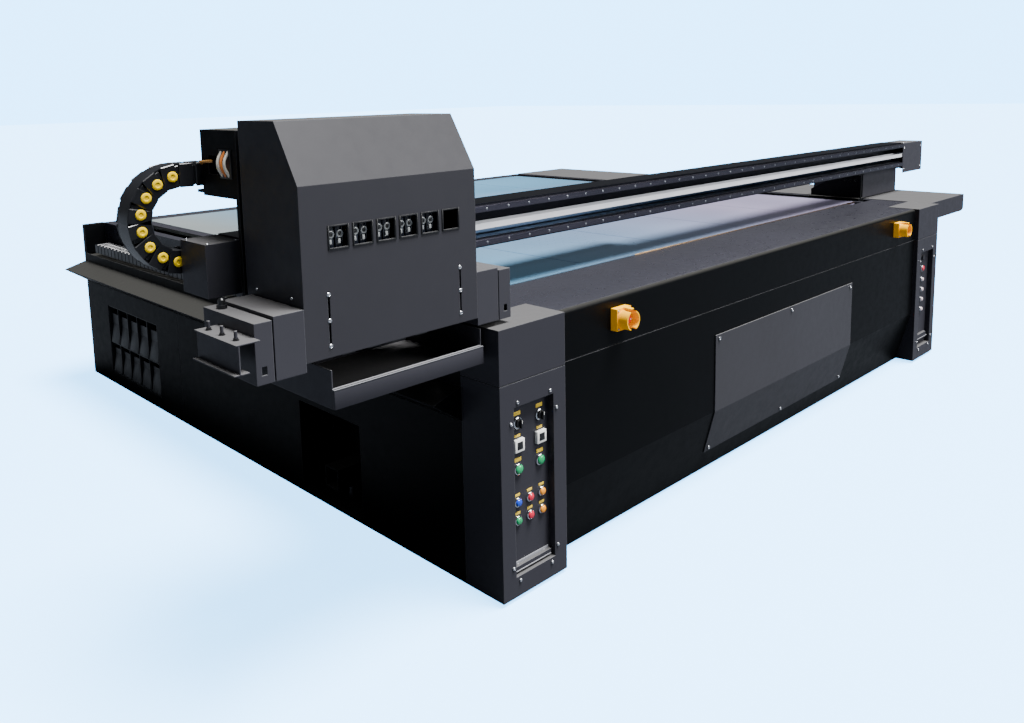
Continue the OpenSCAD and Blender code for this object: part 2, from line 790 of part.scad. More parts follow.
// a straight run of links along x, h high: a tray with an opening over every link
module chain_run(l, h) {
    count = floor(l / link_pitch);
    pitch = l / count;
    difference() {
        cube([l, link_w, h]);
        translate([-1, chain_wall, chain_wall]) cube([l + 2, link_w - 2 * chain_wall, h - 2 * chain_wall]);
        for (i = [0:count - 1]) translate([(i + 0.28) * pitch, chain_wall, h - chain_wall - 1])
            cube([pitch * 0.44, link_w - 2 * chain_wall, chain_wall + 2]);
    }
}

// a quarter of the bend about the z axis, with round covers on the link pins
module chain_quarter(r, h, first) {
    caps = floor(r * PI / 2 / cap_pitch);
    rotate([0, 0, first]) {
        rotate_extrude(angle = 90) translate([r - h / 2, 0]) difference() {
            square([h, link_w]);
            translate([chain_wall, chain_wall]) square([h - 2 * chain_wall, link_w - 2 * chain_wall]);
        }
        for (i = [0:caps - 1]) rotate([0, 0, (i + 0.5) * 90 / caps]) translate([r, 0, link_w - touch])
            cylinder(h = 2.5, r = link_cap_r);
    }
}

// the quarter turned upright, in the x-z plane or the y-z plane
module x_quarter(first) {
    translate([x_bend_x, x_lane[1], x_bend_z]) rotate([90, 0, 0]) chain_quarter(x_bend_r, link_h, first);
}
module y_quarter(first) {
    translate([y_lane[1], y_bend_y, y_bend_z]) mirror([1, 0, 0]) rotate([90, 0, 90])
        chain_quarter(y_bend_r, y_link_h, first);
}

module x_chain_lower_run() {
    machine() color("#1a1b1e") translate([x_bend_x + link_gap, x_lane[0], x_low_z])
        chain_run(x_anchor - x_bend_x, link_h);
}

module x_chain_bend_lower() { machine() color("#1a1b1e") x_quarter(180); }

module x_chain_bend_upper() {
    machine() color("#1a1b1e") translate([0, 0, link_gap]) {
        x_quarter(90);
        translate([x_bend_x, x_lane[0], x_bend_z + x_bend_r - link_h / 2])
            difference() {
                cube([chain_lead, link_w, link_h]);
                translate([-1, chain_wall, chain_wall])
                    cube([chain_lead + 2, link_w - 2 * chain_wall, link_h - 2 * chain_wall]);
            }
    }
}

module y_chain_lower_run() {
    machine() color("#1a1b1e") translate([y_lane[1], y_bend_y + link_gap, y_low_z]) rotate([0, 0, 90])
        chain_run(y_anchor - y_bend_y, y_link_h);
}

module y_chain_bend_lower() { machine() color("#1a1b1e") y_quarter(180); }

module y_chain_bend_upper() {
    machine() color("#1a1b1e") translate([0, 0, link_gap]) {
        y_quarter(90);
        translate([y_lane[0], y_bend_y, y_bend_z + y_bend_r - y_link_h / 2]) difference() {
            cube([link_w, y_chain_lead, y_link_h]);
            translate([chain_wall, -1, chain_wall])
                cube([link_w - 2 * chain_wall, y_chain_lead + 2, y_link_h - 2 * chain_wall]);
        }
    }
}

// ---------------------------------------------------------------- the gantry

module gantry_beam() {
    wall = 7;
    y = [beam_y, beam_y + beam_d];
    machine() color("#25262b") {
        difference() {
            slab(beam_x, y, [beam_z, beam_top]);
            slab([beam_x[0] - 1, beam_x[1] + 1], [beam_y - 1, channel_y], channel_z);
            slab([beam_x[0] - 1, beam_x[1] + 1], [channel_y + wall, y[1] - wall],
                 [beam_z + wall, beam_top - wall]);
            for (z = [[beam_z + wall, channel_z[0] - wall], [channel_z[1] + wall, beam_top - wall]])
                slab([beam_x[0] - 1, beam_x[1] + 1], [beam_y + wall, channel_y], z);
        }
        slab([beam_x[0], x_anchor + 60], [y[1], x_lane[1] + 8], [x_low_z - 8, x_low_z - 4]);
        slab([beam_x[0], x_anchor + 60], [x_lane[1] + 4, x_lane[1] + 8], [x_low_z - 4, x_low_z + 30]);
        slab([x_anchor + 2, x_anchor + 10], [x_lane[0], x_lane[1] + 4], [x_low_z - 4, x_low_z + link_h]);
    }
}

module x_guide_rails() {
    x = [beam_x[0] + 8, beam_x[1] - 8];
    machine() color("#c9ccd4") for (z = [upper_rail_z, lower_rail_z])
        translate([0, beam_y, z + rail_w / 2]) along_x(x) rotate(90) profiled_rail(rail_w, rail_out);
}

module belt_outline(r) {
    translate([idler_x, pulley_y - r]) square([drive_x - idler_x, 2 * r]);
    for (x = [idler_x, drive_x]) translate([x, pulley_y]) circle(r = r);
}

module x_belt() {
    machine() color("#eceef2") translate([0, 0, belt_z]) linear_extrude(belt_w) difference() {
        belt_outline(pulley_r + 0.3 + belt_t);
        belt_outline(pulley_r + 0.3);
    }
}

axle_r = 8;

module belt_pulley(x) {
    rod_z([x, pulley_y, belt_z - 1], pulley_r, belt_w + 2);
    rod_z([x, pulley_y, belt_z - 4], pulley_r + 5, 3);
    rod_z([x, pulley_y, belt_z + belt_w + 1], pulley_r + 5, 3);
    rod_z([x, pulley_y, channel_z[0] - 6.5], axle_r, channel_z[1] - channel_z[0] + 14);
}

module x_drive_pulley() { machine() color("#b4b8c0") belt_pulley(drive_x); }
module x_idler_pulley() { machine() color("#b4b8c0") belt_pulley(idler_x); }

// a box over the end of the beam, with two shelves that carry a pulley's axle
module pulley_box(x, z0, axle_x, open_x) {
    y = [beam_y - 13, beam_y + beam_d + 10];
    difference() {
        slab(x, y, [z0, beam_top - 4]);
        slab([x[0] + sheet, x[1] - sheet], [y[0] + sheet, y[1] - sheet], [z0 - 1, beam_top - 4 - sheet]);
        slab(open_x, [beam_y - 12, beam_y + beam_d], [z0 - 1, beam_top - 12]);
    }
    for (z = [channel_z[0] - 7, channel_z[1] + 1]) difference() {
        slab([axle_x - 30, axle_x + 30], [beam_y - 10, y[1] - sheet], [z, z + 6]);
        rod_z([axle_x, pulley_y, z - 1], axle_r + 0.05, 8);
    }
}

module left_end_box() {
    x = [-beam_left, beam_x[0] - 0.5];
    machine() color(black_steel) pulley_box(x, beam_z + 4, idler_x, [x[1] - sheet - 1, x[1] + 1]);
}

motor_w = 86;

module right_end_block() {
    x = [beam_x[1] + 0.5, base_w + beam_right];
    machine() color(black_steel) {
        pulley_box(x, beam_z - 37, drive_x, [x[0] - 1, x[0] + sheet + 1]);
        slab([drive_x - motor_w / 2, drive_x + motor_w / 2], [beam_y - 4, beam_y - 4 + motor_w],
             [beam_z - 30, channel_z[0] - 7]);
    }
}

module right_leg() {
    x = [base_w - 20, beam_x[1] - 1];
    y = [beam_y + 25, beam_y + 25 + truck_l];
    machine() color(grey_steel) difference() {
        slab(x, y, [base_h + 6, beam_z]);
        slab([x[0] + sheet, x[1] - sheet], [y[0] + sheet, y[1] - sheet], [base_h + 5, beam_z - sheet]);
    }
}

tray_x = [cover_x0 + 69, -25];
tray_z = base_h - 96;

module waste_ink_tray() {
    y = [cover_y, beam_y - 4];
    machine() color("#34353b") {
        slab(tray_x, [cover_y + sheet, y[1]], [tray_z, tray_z + sheet]);
        slab(tray_x, [cover_y, cover_y + sheet], [tray_z, tray_z + 48]);
        for (x = [tray_x[0], tray_x[1] - sheet]) {
            slab([x, x + sheet], [cover_y + sheet, y[1]], [tray_z + sheet, tray_z + 100]);
            slab([x, x + sheet], [y[1], beam_y + beam_d - 10], [tray_z, beam_z]);
        }
        slab([tray_x[0] + sheet, tray_x[1] - sheet], [y[1] - sheet, y[1]], [tray_z + sheet, tray_z + 90]);
    }
}

// ---------------------------------------------------------------- the carriage

carriage_x = [cover_x0 + 40, cover_x1 - 40];
mid_x = (cover_x0 + cover_x1) / 2;
guide_x = [cover_x0 + 80, cover_x1 - 80];
guide_r = 10;
guide_y = cover_y + cover_d - 40;

module rail_block(x, z) {
    l = 80;
    difference() {
        slab([x, x + l], [car_plate_y + car_plate_t, beam_y - 4], [z - 13, z + rail_w + 13]);
        slab([x - 1, x + l + 1], [beam_y - rail_out - clear, beam_y], [z - clear, z + rail_w + clear]);
    }
}

module carriage_plate() {
    y = [car_plate_y, car_plate_y + car_plate_t];
    jaw = pulley_y - pulley_r - 0.3 - belt_t;
    box_z = [cover_top - 203, cover_top - 25];
    box_y = [y[1], x_lane[0] - 10];
    machine() color("#2b2c31") {
        slab([cover_x0, cover_x1], y, [cover_z + 12, box_z[1]]);
        for (x = [carriage_x[0], carriage_x[1] - 80], z = [lower_rail_z, upper_rail_z]) rail_block(x, z);
        slab([mid_x - 40, mid_x + 40], [y[1], jaw - clear], [belt_z - 14, belt_z + belt_w + 20]);
        slab([mid_x - 40, mid_x + 40], [jaw - clear, jaw + belt_t + 8],
             [belt_z + belt_w + 2, belt_z + belt_w + 20]);
        slab([mid_x - 40, mid_x + 40], [jaw + belt_t + clear, jaw + belt_t + 8],
             [belt_z - 1, belt_z + belt_w + 2]);
        difference() {
            slab([cover_x0, cover_x1], box_y, box_z);
            slab([cover_x0 + sheet, cover_x1 - sheet], [box_y[0] - 1, box_y[1] - sheet],
                 [box_z[0] + sheet, box_z[1] - sheet]);
            slab([cover_x0 - 1, cover_x0 + sheet + 1], [box_y[1] - 90, box_y[1] - 40],
                 [box_z[0] + 60, box_z[0] + 110]);
        }
        slab([cover_x0 + 26, cover_x0 + 150], [box_y[1], x_lane[1]], [box_z[0], box_z[0] + 8]);
        slab([clamp_x, clamp_x + 8], [x_lane[0], x_lane[1]], [box_z[0] + 8, box_z[0] + 8 + link_h]);
        for (x = guide_x) {
            rod_z([x, guide_y, cover_z + 12], guide_r, 200);
            slab([x - 18, x + 18], [guide_y - 18, y[0]], [cover_z + 212, cover_z + 224]);
        }
    }
}

window_w = 54;
window_h = 52;
window_pitch = 72.5;
window_z = cover_z + 269;
window_x = cover_x0 + 80;
slot_z = [cover_z + 20, cover_z + 165];

// side outline of the cover: upright face, sloped panel and flat top
function cover_outline(i) = [
    [cover_y + i, cover_z - 1 * (i > 0 ? 1 : 0)],
    [cover_y + i, cover_z + face_h - i * 0.3],
    [cover_y + slope_back + i * 0.3, cover_top - i],
    [cover_y + cover_d + (i > 0 ? 1 : 0), cover_top - i],
    [cover_y + cover_d + (i > 0 ? 1 : 0), cover_z - 1 * (i > 0 ? 1 : 0)],
];

module carriage_cover() {
    machine() color(grey_steel) difference() {
        along_x([cover_x0, cover_x1]) polygon(cover_outline(0));
        along_x([cover_x0 + sheet, cover_x1 - sheet]) polygon(cover_outline(sheet));
        for (i = [0:5]) {
            x = window_x + i * window_pitch;
            slab([x, x + window_w], [cover_y - 1, cover_y + sheet + 1], [window_z, window_z + window_h]);
        }
        for (x = [cover_x0 + 71, cover_x1 - 63])
            slab([x - 3, x + 3], [cover_y - 1, cover_y + sheet + 1], slot_z);
    }
}

tank_w = 24;
tube_r = 4;

module ink_tanks() {
    machine() color("#c8ccd0") {
        for (i = [0:4], s = [-1, 1]) {
            x = window_x + i * window_pitch + window_w / 2 + s * 13;
            slab([x - tank_w / 2, x + tank_w / 2], [cover_y + 12, cover_y + 60],
                 [window_z - 30, window_z + window_h + 20]);
            rod_z([x, cover_y + 36, window_z + window_h + 20 - touch], tube_r, 60);
        }
        slab([window_x, window_x + 5 * window_pitch], [cover_y + 12, cover_y + 60],
             [window_z - 42, window_z - 30]);
        slab([window_x, window_x + 8], [cover_y + 60, car_plate_y], [window_z - 42, window_z - 30]);
        slab([window_x + 4 * window_pitch, window_x + 4 * window_pitch + 8], [cover_y + 60, car_plate_y],
             [window_z - 42, window_z - 30]);
    }
}

head_rows = 2;
head_count = 4;
head_pitch_x = 80;
head_pitch_y = 86;

module print_heads() {
    z = base_h + 20;
    machine() color("#3d3f45") {
        difference() {
            slab([cover_x0 + 40, cover_x1 - 40], [cover_y + 30, cover_y + cover_d - 12], [z + 32, z + 42]);
            for (x = guide_x) rod_z([x, guide_y, z + 31], guide_r + 0.08, 12);
        }
        for (i = [0:head_count - 1], j = [0:head_rows - 1])
            translate([i * head_pitch_x, j * head_pitch_y, 0])
                slab([mid_x - 150, mid_x - 110], [cover_y + 44, cover_y + 116], [z, z + 32]);
    }
}

lamp_z = [base_h + lamp_lift, base_h + lamp_lift + 155];
lamp_d = 247;
lamp_slim = 46;

lamp_wall = 3;
lamp_gap = 4;

// a housing with a closed top that is open below, where the light comes out
module lamp_housing(x, top) {
    y = [cover_y, cover_y + lamp_d];
    difference() {
        slab(x, y, [lamp_z[0], top]);
        slab([x[0] + lamp_wall, x[1] - lamp_wall], [y[0] + lamp_wall, y[1] - lamp_wall],
             [lamp_z[0] - 1, top - lamp_wall]);
    }
}

// wide inner housing and slim outer one, with a square port near the foot of the slim one
module lamp_pair() {
    split = lamp_w - lamp_slim;
    lamp_housing([0, split - lamp_gap], lamp_z[1]);
    difference() {
        lamp_housing([split, lamp_w], lamp_z[1] - 8);
        slab([split + 18, lamp_w - 14], [cover_y - 1, cover_y + lamp_wall + 1],
             [lamp_z[0] + 22, lamp_z[0] + 42]);
    }
    slab([split - lamp_gap, split], [cover_y + 12, cover_y + lamp_d], [lamp_z[0] + 40, lamp_z[1] - 12]);
    for (x = [8, 38])
        slab([x, x + 30], [cover_y + 20, cover_y + lamp_d - 20],
             [lamp_z[0] + 24, lamp_z[1] - lamp_wall]);
}

module uv_lamps() {
    machine() color(grey_steel) {
        translate([cover_x1, 0, 0]) lamp_pair();
        translate([cover_x0, 0, 0]) mirror([1, 0, 0]) lamp_pair();
    }
}

guard_out = 60;

// a crash guard on the outer side of the left lamp, held by three studs
module collision_guard() {
    x1 = cover_x0 - lamp_w;
    y = [cover_y - 26, cover_y + 176];
    z = [base_h + 60, base_h + 128];
    machine() color("#3a3b41") {
        slab([x1 - guard_out, x1], y, [z[1], z[1] + 3]);
        slab([x1 - guard_out + 6, x1 - guard_out + 9], y, [z[0] + 3, z[1]]);
        slab([x1 - guard_out - 8, x1 - guard_out + 30], y, [z[0], z[0] + 3]);
        for (i = [0:2]) rod_z([x1 - guard_out + 22, y[0] + 40 + i * 66, z[1] + 3 - touch], 4, 22);
    }
}

base_frame();
levelling_feet();
vacuum_table();
vacuum_blowers();
deck_covers();
front_band();
front_lower_panel();
front_cover_plate();
left_column();
right_column();
control_plates();
left_side_panels();
ink_rack();
ink_bottles();
left_ledge();
right_side_panel();
right_wing();
rear_panel();
y_rails();
y_chain_lower_run();
y_chain_bend_lower();
y_chain_bend_upper();
y_drive_shaft();
estop_shrouds();
estop_left();
estop_right();
left_selector_1();
left_selector_2();
green_button_1();
green_button_2();
blue_button();
red_button_upper();
amber_button_upper();
green_button_small();
red_button_lower();
amber_button_lower();
right_red_button();
right_switch_1();
right_switch_2();
right_switch_3();
right_switch_4();
gantry_beam();
gantry_trucks();
x_guide_rails();
x_belt();
x_drive_pulley();
x_idler_pulley();
left_end_box();
right_end_block();
right_leg();
waste_ink_tray();
x_chain_lower_run();
x_chain_bend_lower();
x_chain_bend_upper();
carriage_plate();
carriage_cover();
ink_tanks();
print_heads();
uv_lamps();
collision_guard();
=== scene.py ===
from math import cos, pi, radians, sin

import bmesh
import bpy
from mathutils import Matrix, Vector


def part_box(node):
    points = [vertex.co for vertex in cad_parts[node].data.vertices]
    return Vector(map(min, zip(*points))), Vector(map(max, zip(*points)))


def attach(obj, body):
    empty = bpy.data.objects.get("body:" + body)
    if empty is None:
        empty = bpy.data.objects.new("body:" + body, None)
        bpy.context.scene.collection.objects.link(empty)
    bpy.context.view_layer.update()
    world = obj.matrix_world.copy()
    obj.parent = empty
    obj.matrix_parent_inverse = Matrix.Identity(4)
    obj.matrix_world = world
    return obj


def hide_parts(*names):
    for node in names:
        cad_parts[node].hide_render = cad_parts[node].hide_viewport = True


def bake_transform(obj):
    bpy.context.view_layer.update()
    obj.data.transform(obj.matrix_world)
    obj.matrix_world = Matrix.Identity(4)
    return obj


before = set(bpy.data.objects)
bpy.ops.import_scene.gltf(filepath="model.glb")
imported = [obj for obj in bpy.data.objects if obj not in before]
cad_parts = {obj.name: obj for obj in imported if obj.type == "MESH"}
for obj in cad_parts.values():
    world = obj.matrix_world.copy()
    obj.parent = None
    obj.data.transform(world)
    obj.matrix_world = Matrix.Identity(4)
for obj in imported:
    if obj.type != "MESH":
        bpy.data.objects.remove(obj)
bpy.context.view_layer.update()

scene = bpy.context.scene

# ---------------------------------------------------------------- places
# The left face and the column fronts are the two faces that everything is measured from.
COLUMN_SCREW = 0.003
column_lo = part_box("left_column")[0]
LEFT = column_lo.x
FRONT = column_lo.y + COLUMN_SCREW


def at(x, y, z):
    """A point in millimetres from the left face, the column fronts and the floor."""
    return Vector((LEFT + x / 1000, FRONT + y / 1000, z / 1000))


# ---------------------------------------------------------------- camera
camera_data = bpy.data.cameras.new("camera")
camera = bpy.data.objects.new("camera", camera_data)
scene.collection.objects.link(camera)
scene.camera = camera
camera_data.sensor_width = 36
camera_data.lens = 30.61
camera_data.shift_x = 0.0173
camera_data.shift_y = -0.1440
camera_data.clip_end = 200


def turned_by(rx, ry, rz):
    """The rotation about the axis (rx, ry, rz) by that vector's length."""
    axis = Vector((rx, ry, rz))
    return Matrix.Rotation(axis.length, 3, axis.normalized())


world_to_view = turned_by(1.60759428, -0.672371816, 0.553144695)
right, down, ahead = world_to_view
view = Matrix((right, -down, -ahead)).transposed()
camera.matrix_world = Matrix.Translation((-3.3754, -3.3264, 1.5242)) @ view.to_4x4()


# ---------------------------------------------------------------- materials
def colour(hex_code):
    """An sRGB hex colour as the linear RGBA that Blender's sockets take."""
    parts = [int(hex_code[i:i + 2], 16) / 255 for i in (1, 3, 5)]
    return [c / 12.92 if c <= 0.04045 else ((c + 0.055) / 1.055) ** 2.4 for c in parts] + [1]


def add(nodes, kind, inputs=None, **settings):
    """Adds a node, sets its properties, and sets or links its inputs."""
    new = nodes.new(kind)
    for key, value in settings.items():
        setattr(new, key, value)
    for key, value in (inputs or {}).items():
        if isinstance(value, bpy.types.NodeSocket):
            nodes.id_data.links.new(value, new.inputs[key])
        else:
            new.inputs[key].default_value = value
    return new


def begin(name):
    made = bpy.data.materials.new(name)
    made.use_nodes = True
    made.node_tree.nodes.clear()
    return made, made.node_tree.nodes


def close(nodes, shader):
    add(nodes, "ShaderNodeOutputMaterial", {"Surface": shader.outputs[0]})


def powder_coat(name, base, light, rough, grain_mm=1.2, specular=0.3, dusty_tops=0.12):
    """Baked powder paint on folded steel: fine orange peel, slow drifts of tone,
    faint dust on what faces up and a paler line where an edge is rubbed."""
    made, nodes = begin(name)
    place = add(nodes, "ShaderNodeTexCoord").outputs["Object"]
    drift = add(nodes, "ShaderNodeTexNoise", {
        "Vector": place, "Scale": 1.7, "Detail": 4, "Roughness": 0.6
    })
    tone = add(nodes, "ShaderNodeMix", {
        "Factor": drift.outputs["Fac"], "A": colour(base), "B": colour(light)
    }, data_type="RGBA")
    peel = add(nodes, "ShaderNodeTexNoise", {
        "Vector": place, "Scale": 1000 / (grain_mm * 2.2), "Detail": 2
    })
    rounded = add(nodes, "ShaderNodeBevel", {"Radius": 0.003}, samples=4)
    true_face = add(nodes, "ShaderNodeNewGeometry")
    agree = add(nodes, "ShaderNodeVectorMath", {
        0: rounded.outputs[0], 1: true_face.outputs["Normal"]
    }, operation="DOT_PRODUCT")
    edge = add(nodes, "ShaderNodeMapRange", {
        "Value": agree.outputs["Value"], "From Min": 0.985, "From Max": 0.80, "To Min": 0.0,
        "To Max": 0.55
    })
    scuffs = add(nodes, "ShaderNodeTexNoise", {
        "Vector": place, "Scale": 24, "Detail": 5, "Roughness": 0.7
    })
    rubbed = add(nodes, "ShaderNodeMath", {
        0: edge.outputs[0], 1: scuffs.outputs["Fac"]
    }, operation="MULTIPLY")
    up = add(nodes, "ShaderNodeSeparateXYZ", {0: true_face.outputs["Normal"]})
    dust = add(nodes, "ShaderNodeMapRange", {
        "Value": up.outputs["Z"], "From Min": 0.3, "From Max": 0.9, "To Min": 0.0,
        "To Max": dusty_tops
    })
    worn = add(nodes, "ShaderNodeMix", {"Factor": rubbed.outputs[0], "A": tone.outputs["Result"],
                                        "B": colour("#8c8d94")}, data_type="RGBA")
    dusty = add(nodes, "ShaderNodeMix", {"Factor": dust.outputs[0], "A": worn.outputs["Result"],
                                         "B": colour("#b8b6ae")}, data_type="RGBA")
    gloss = add(nodes, "ShaderNodeMapRange", {
        "Value": scuffs.outputs["Fac"], "From Min": 0.3, "From Max": 0.7, "To Min": rough - 0.06,
        "To Max": rough + 0.07
    })
    bumps = add(nodes, "ShaderNodeBump", {
        "Strength": 0.12, "Distance": 0.0006, "Height": peel.outputs["Fac"],
        "Normal": rounded.outputs[0]
    })
    close(nodes, add(nodes, "ShaderNodeBsdfPrincipled", {
        "Base Color": dusty.outputs["Result"], "Roughness": gloss.outputs[0], "Normal": bumps.outputs[0],
        "Specular IOR Level": specular, "IOR": 1.5}))
    return made


def bare_metal(name, base, light, rough, stretch, bump=0.15):
    """Cut, ground or anodised metal, with fine marks along one direction."""
    made, nodes = begin(name)
    place = add(nodes, "ShaderNodeTexCoord").outputs["Object"]
    turned = add(nodes, "ShaderNodeMapping", {"Vector": place, "Scale": stretch})
    marks = add(nodes, "ShaderNodeTexNoise", {
        "Vector": turned.outputs[0], "Scale": 1.0, "Detail": 3
    })
    drift = add(nodes, "ShaderNodeTexNoise", {"Vector": place, "Scale": 2.5, "Detail": 3})
    tone = add(nodes, "ShaderNodeMix", {
        "Factor": drift.outputs["Fac"], "A": colour(base), "B": colour(light)
    }, data_type="RGBA")
    gloss = add(nodes, "ShaderNodeMapRange", {
        "Value": marks.outputs["Fac"], "From Min": 0.3, "From Max": 0.7, "To Min": rough - 0.05,
        "To Max": rough + 0.08
    })
    rounded = add(nodes, "ShaderNodeBevel", {"Radius": 0.0015}, samples=4)
    bumps = add(nodes, "ShaderNodeBump", {
        "Strength": bump, "Distance": 0.0004, "Height": marks.outputs["Fac"],
        "Normal": rounded.outputs[0]
    })
    close(nodes, add(nodes, "ShaderNodeBsdfPrincipled", {
        "Base Color": tone.outputs["Result"], "Metallic": 1.0, "Roughness": gloss.outputs[0],
        "Normal": bumps.outputs[0]}))
    return made


def moulded(name, base, light, rough, grain_mm=0.8, specular=0.5, coat=0.0, through=0.0, glow=0.0):
    """Injection moulded plastic: a fine spark-eroded grain, and a slight drift of tone; glow is painted
    light, an emission in the base colour.
    """
    made, nodes = begin(name)
    place = add(nodes, "ShaderNodeTexCoord").outputs["Object"]
    drift = add(nodes, "ShaderNodeTexNoise", {"Vector": place, "Scale": 14, "Detail": 3})
    tone = add(nodes, "ShaderNodeMix", {
        "Factor": drift.outputs["Fac"], "A": colour(base), "B": colour(light)
    }, data_type="RGBA")
    grain = add(nodes, "ShaderNodeTexVoronoi", {"Vector": place, "Scale": 1000 / grain_mm})
    gloss = add(nodes, "ShaderNodeMapRange", {
        "Value": drift.outputs["Fac"], "From Min": 0.3, "From Max": 0.7, "To Min": rough - 0.04,
        "To Max": rough + 0.06
    })
    bumps = add(nodes, "ShaderNodeBump", {
        "Strength": 0.08, "Distance": 0.0003, "Height": grain.outputs["Distance"]
    })
    close(nodes, add(nodes, "ShaderNodeBsdfPrincipled", {
        "Base Color": tone.outputs["Result"], "Roughness": gloss.outputs[0], "Normal": bumps.outputs[0],
        "Specular IOR Level": specular, "Coat Weight": coat, "Coat Roughness": 0.08,
        "Transmission Weight": through, "IOR": 1.49, "Emission Color": colour(base),
        "Emission Strength": glow}))
    return made


def anodised_table(name):
    """Fine sandblasted and anodised aluminium plate, drilled with suction holes, with a painted teal
    reflection towards the left and the rear.
    The holes are 3 mm at a pitch of 50 mm, drawn 6 mm wide so that they show."""
    made, nodes = begin(name)
    place = add(nodes, "ShaderNodeTexCoord").outputs["Object"]
    cloud = add(nodes, "ShaderNodeTexNoise", {"Vector": place, "Scale": 0.9, "Detail": 3})
    tone = add(nodes, "ShaderNodeMix", {"Factor": cloud.outputs["Fac"], "A": colour("#837d96"),
                                        "B": colour("#a39cb8")}, data_type="RGBA")
    across = add(nodes, "ShaderNodeSeparateXYZ", {0: place})
    # painted reflection: the plate is mixed towards teal to the left and to the rear, standing in for the
    # surroundings mirrored in it
    cool = add(nodes, "ShaderNodeMapRange", {
        "Value": across.outputs["X"], "From Min": 0.9, "From Max": -1.2, "To Min": 0.0,
        "To Max": 0.75
    })
    rear = add(nodes, "ShaderNodeMapRange", {
        "Value": across.outputs["Y"], "From Min": 0.1, "From Max": 0.9, "To Min": 0.0,
        "To Max": 0.75
    })
    reflection_mask = add(nodes, "ShaderNodeMath", {
        0: cool.outputs[0], 1: rear.outputs[0]
    }, operation="MAXIMUM")
    painted_reflection = add(nodes, "ShaderNodeMix", {"Factor": reflection_mask.outputs[0], "A": tone.outputs["Result"],
                                         "B": colour("#4fa0c4")}, data_type="RGBA")
    leftmost = add(nodes, "ShaderNodeMapRange", {
        "Value": across.outputs["X"], "From Min": -0.5, "From Max": -1.3, "To Min": 0.0,
        "To Max": 1.0
    })
    rearward = add(nodes, "ShaderNodeMapRange", {
        "Value": across.outputs["Y"], "From Min": -0.9, "From Max": 0.5, "To Min": 0.0,
        "To Max": 0.7
    })
    corner = add(nodes, "ShaderNodeMath", {
        0: leftmost.outputs[0], 1: rearward.outputs[0]
    }, operation="MULTIPLY")
    warm = add(nodes, "ShaderNodeMix", {"Factor": corner.outputs[0], "A": painted_reflection.outputs["Result"],
                                        "B": colour("#98917f")}, data_type="RGBA")
    pitch = add(nodes, "ShaderNodeVectorMath", {0: place, 1: (20, 20, 0)}, operation="MULTIPLY")
    cell = add(nodes, "ShaderNodeVectorMath", {0: pitch.outputs[0]}, operation="FRACTION")
    offset = add(nodes, "ShaderNodeVectorMath", {
        0: cell.outputs[0], 1: (0.5, 0.5, 0)
    }, operation="DISTANCE")
    hole = add(nodes, "ShaderNodeMapRange", {
        "Value": offset.outputs["Value"], "From Min": 0.05, "From Max": 0.07, "To Min": 0.35,
        "To Max": 0.0
    })
    drilled = add(nodes, "ShaderNodeMix", {"Factor": hole.outputs[0], "A": warm.outputs["Result"],
                                           "B": colour("#1c1c22")}, data_type="RGBA")
    blast = add(nodes, "ShaderNodeTexNoise", {"Vector": place, "Scale": 420, "Detail": 2})
    gloss = add(nodes, "ShaderNodeMapRange", {
        "Value": cloud.outputs["Fac"], "From Min": 0.3, "From Max": 0.7, "To Min": 0.24,
        "To Max": 0.36
    })
    bumps = add(nodes, "ShaderNodeBump", {
        "Strength": 0.1, "Distance": 0.0003, "Height": blast.outputs["Fac"]
    })
    close(nodes, add(nodes, "ShaderNodeBsdfPrincipled", {
        "Base Color": drilled.outputs["Result"], "Metallic": 0.35, "Roughness": gloss.outputs[0],
        "Normal": bumps.outputs[0]}))
    return made


def toothed_belt(name):
    """White polyurethane belt with ribs every 8 mm, drawn across its length."""
    made, nodes = begin(name)
    place = add(nodes, "ShaderNodeTexCoord").outputs["Object"]
    ribs = add(nodes, "ShaderNodeTexWave", {"Vector": place, "Scale": 20.0, "Distortion": 0.0},
               wave_type="BANDS", bands_direction="X")
    soil = add(nodes, "ShaderNodeTexNoise", {"Vector": place, "Scale": 9, "Detail": 4})
    tone = add(nodes, "ShaderNodeMix", {"Factor": soil.outputs["Fac"], "A": colour("#f4f5f8"),
                                        "B": colour("#c9ccd6")}, data_type="RGBA")
    bumps = add(nodes, "ShaderNodeBump", {
        "Strength": 0.25, "Distance": 0.0008, "Height": ribs.outputs["Fac"]
    })
    close(nodes, add(nodes, "ShaderNodeBsdfPrincipled", {
        "Base Color": tone.outputs["Result"], "Roughness": 0.42, "Normal": bumps.outputs[0]}))
    return made


black_coat = powder_coat("powder_coat_black", "#050607", "#0a0b0d", 0.34, specular=0.05, dusty_tops=0.05)
grey_coat = powder_coat("powder_coat_grey", "#2c2c32", "#323238", 0.44, specular=0.1)
cover_coat = powder_coat("powder_coat_cover", "#2c2c31", "#333338", 0.42, specular=0.12)
frame_paint = powder_coat("enamel_frame", "#0a0b0d", "#101114", 0.5, specular=0.06)
dark_coat = powder_coat("powder_coat_dark", "#323238", "#3a3a40", 0.4, specular=0.1)
plate_coat = powder_coat("powder_coat_plate", "#313135", "#38383d", 0.42, specular=0.1)
deck_coat = powder_coat("powder_coat_deck", "#1b1b22", "#26262f", 0.3, specular=0.3, dusty_tops=0.015)
beam_black = bare_metal("aluminium_black_anodised", "#1c1d22", "#2a2b33", 0.34, (3, 900, 900))
rail_steel = bare_metal("steel_ground", "#4a4852", "#625f6b", 0.26, (3, 700, 700))
y_rail_steel = bare_metal("steel_ground_lengthwise", "#8f929b", "#b3b6be", 0.24, (700, 3, 700))
turned_steel = bare_metal("steel_turned", "#8a8d95", "#a6a9b0", 0.3, (300, 300, 300))
zinc = bare_metal("steel_zinc_plated", "#b9bcc2", "#d6d8dc", 0.28, (500, 500, 500))
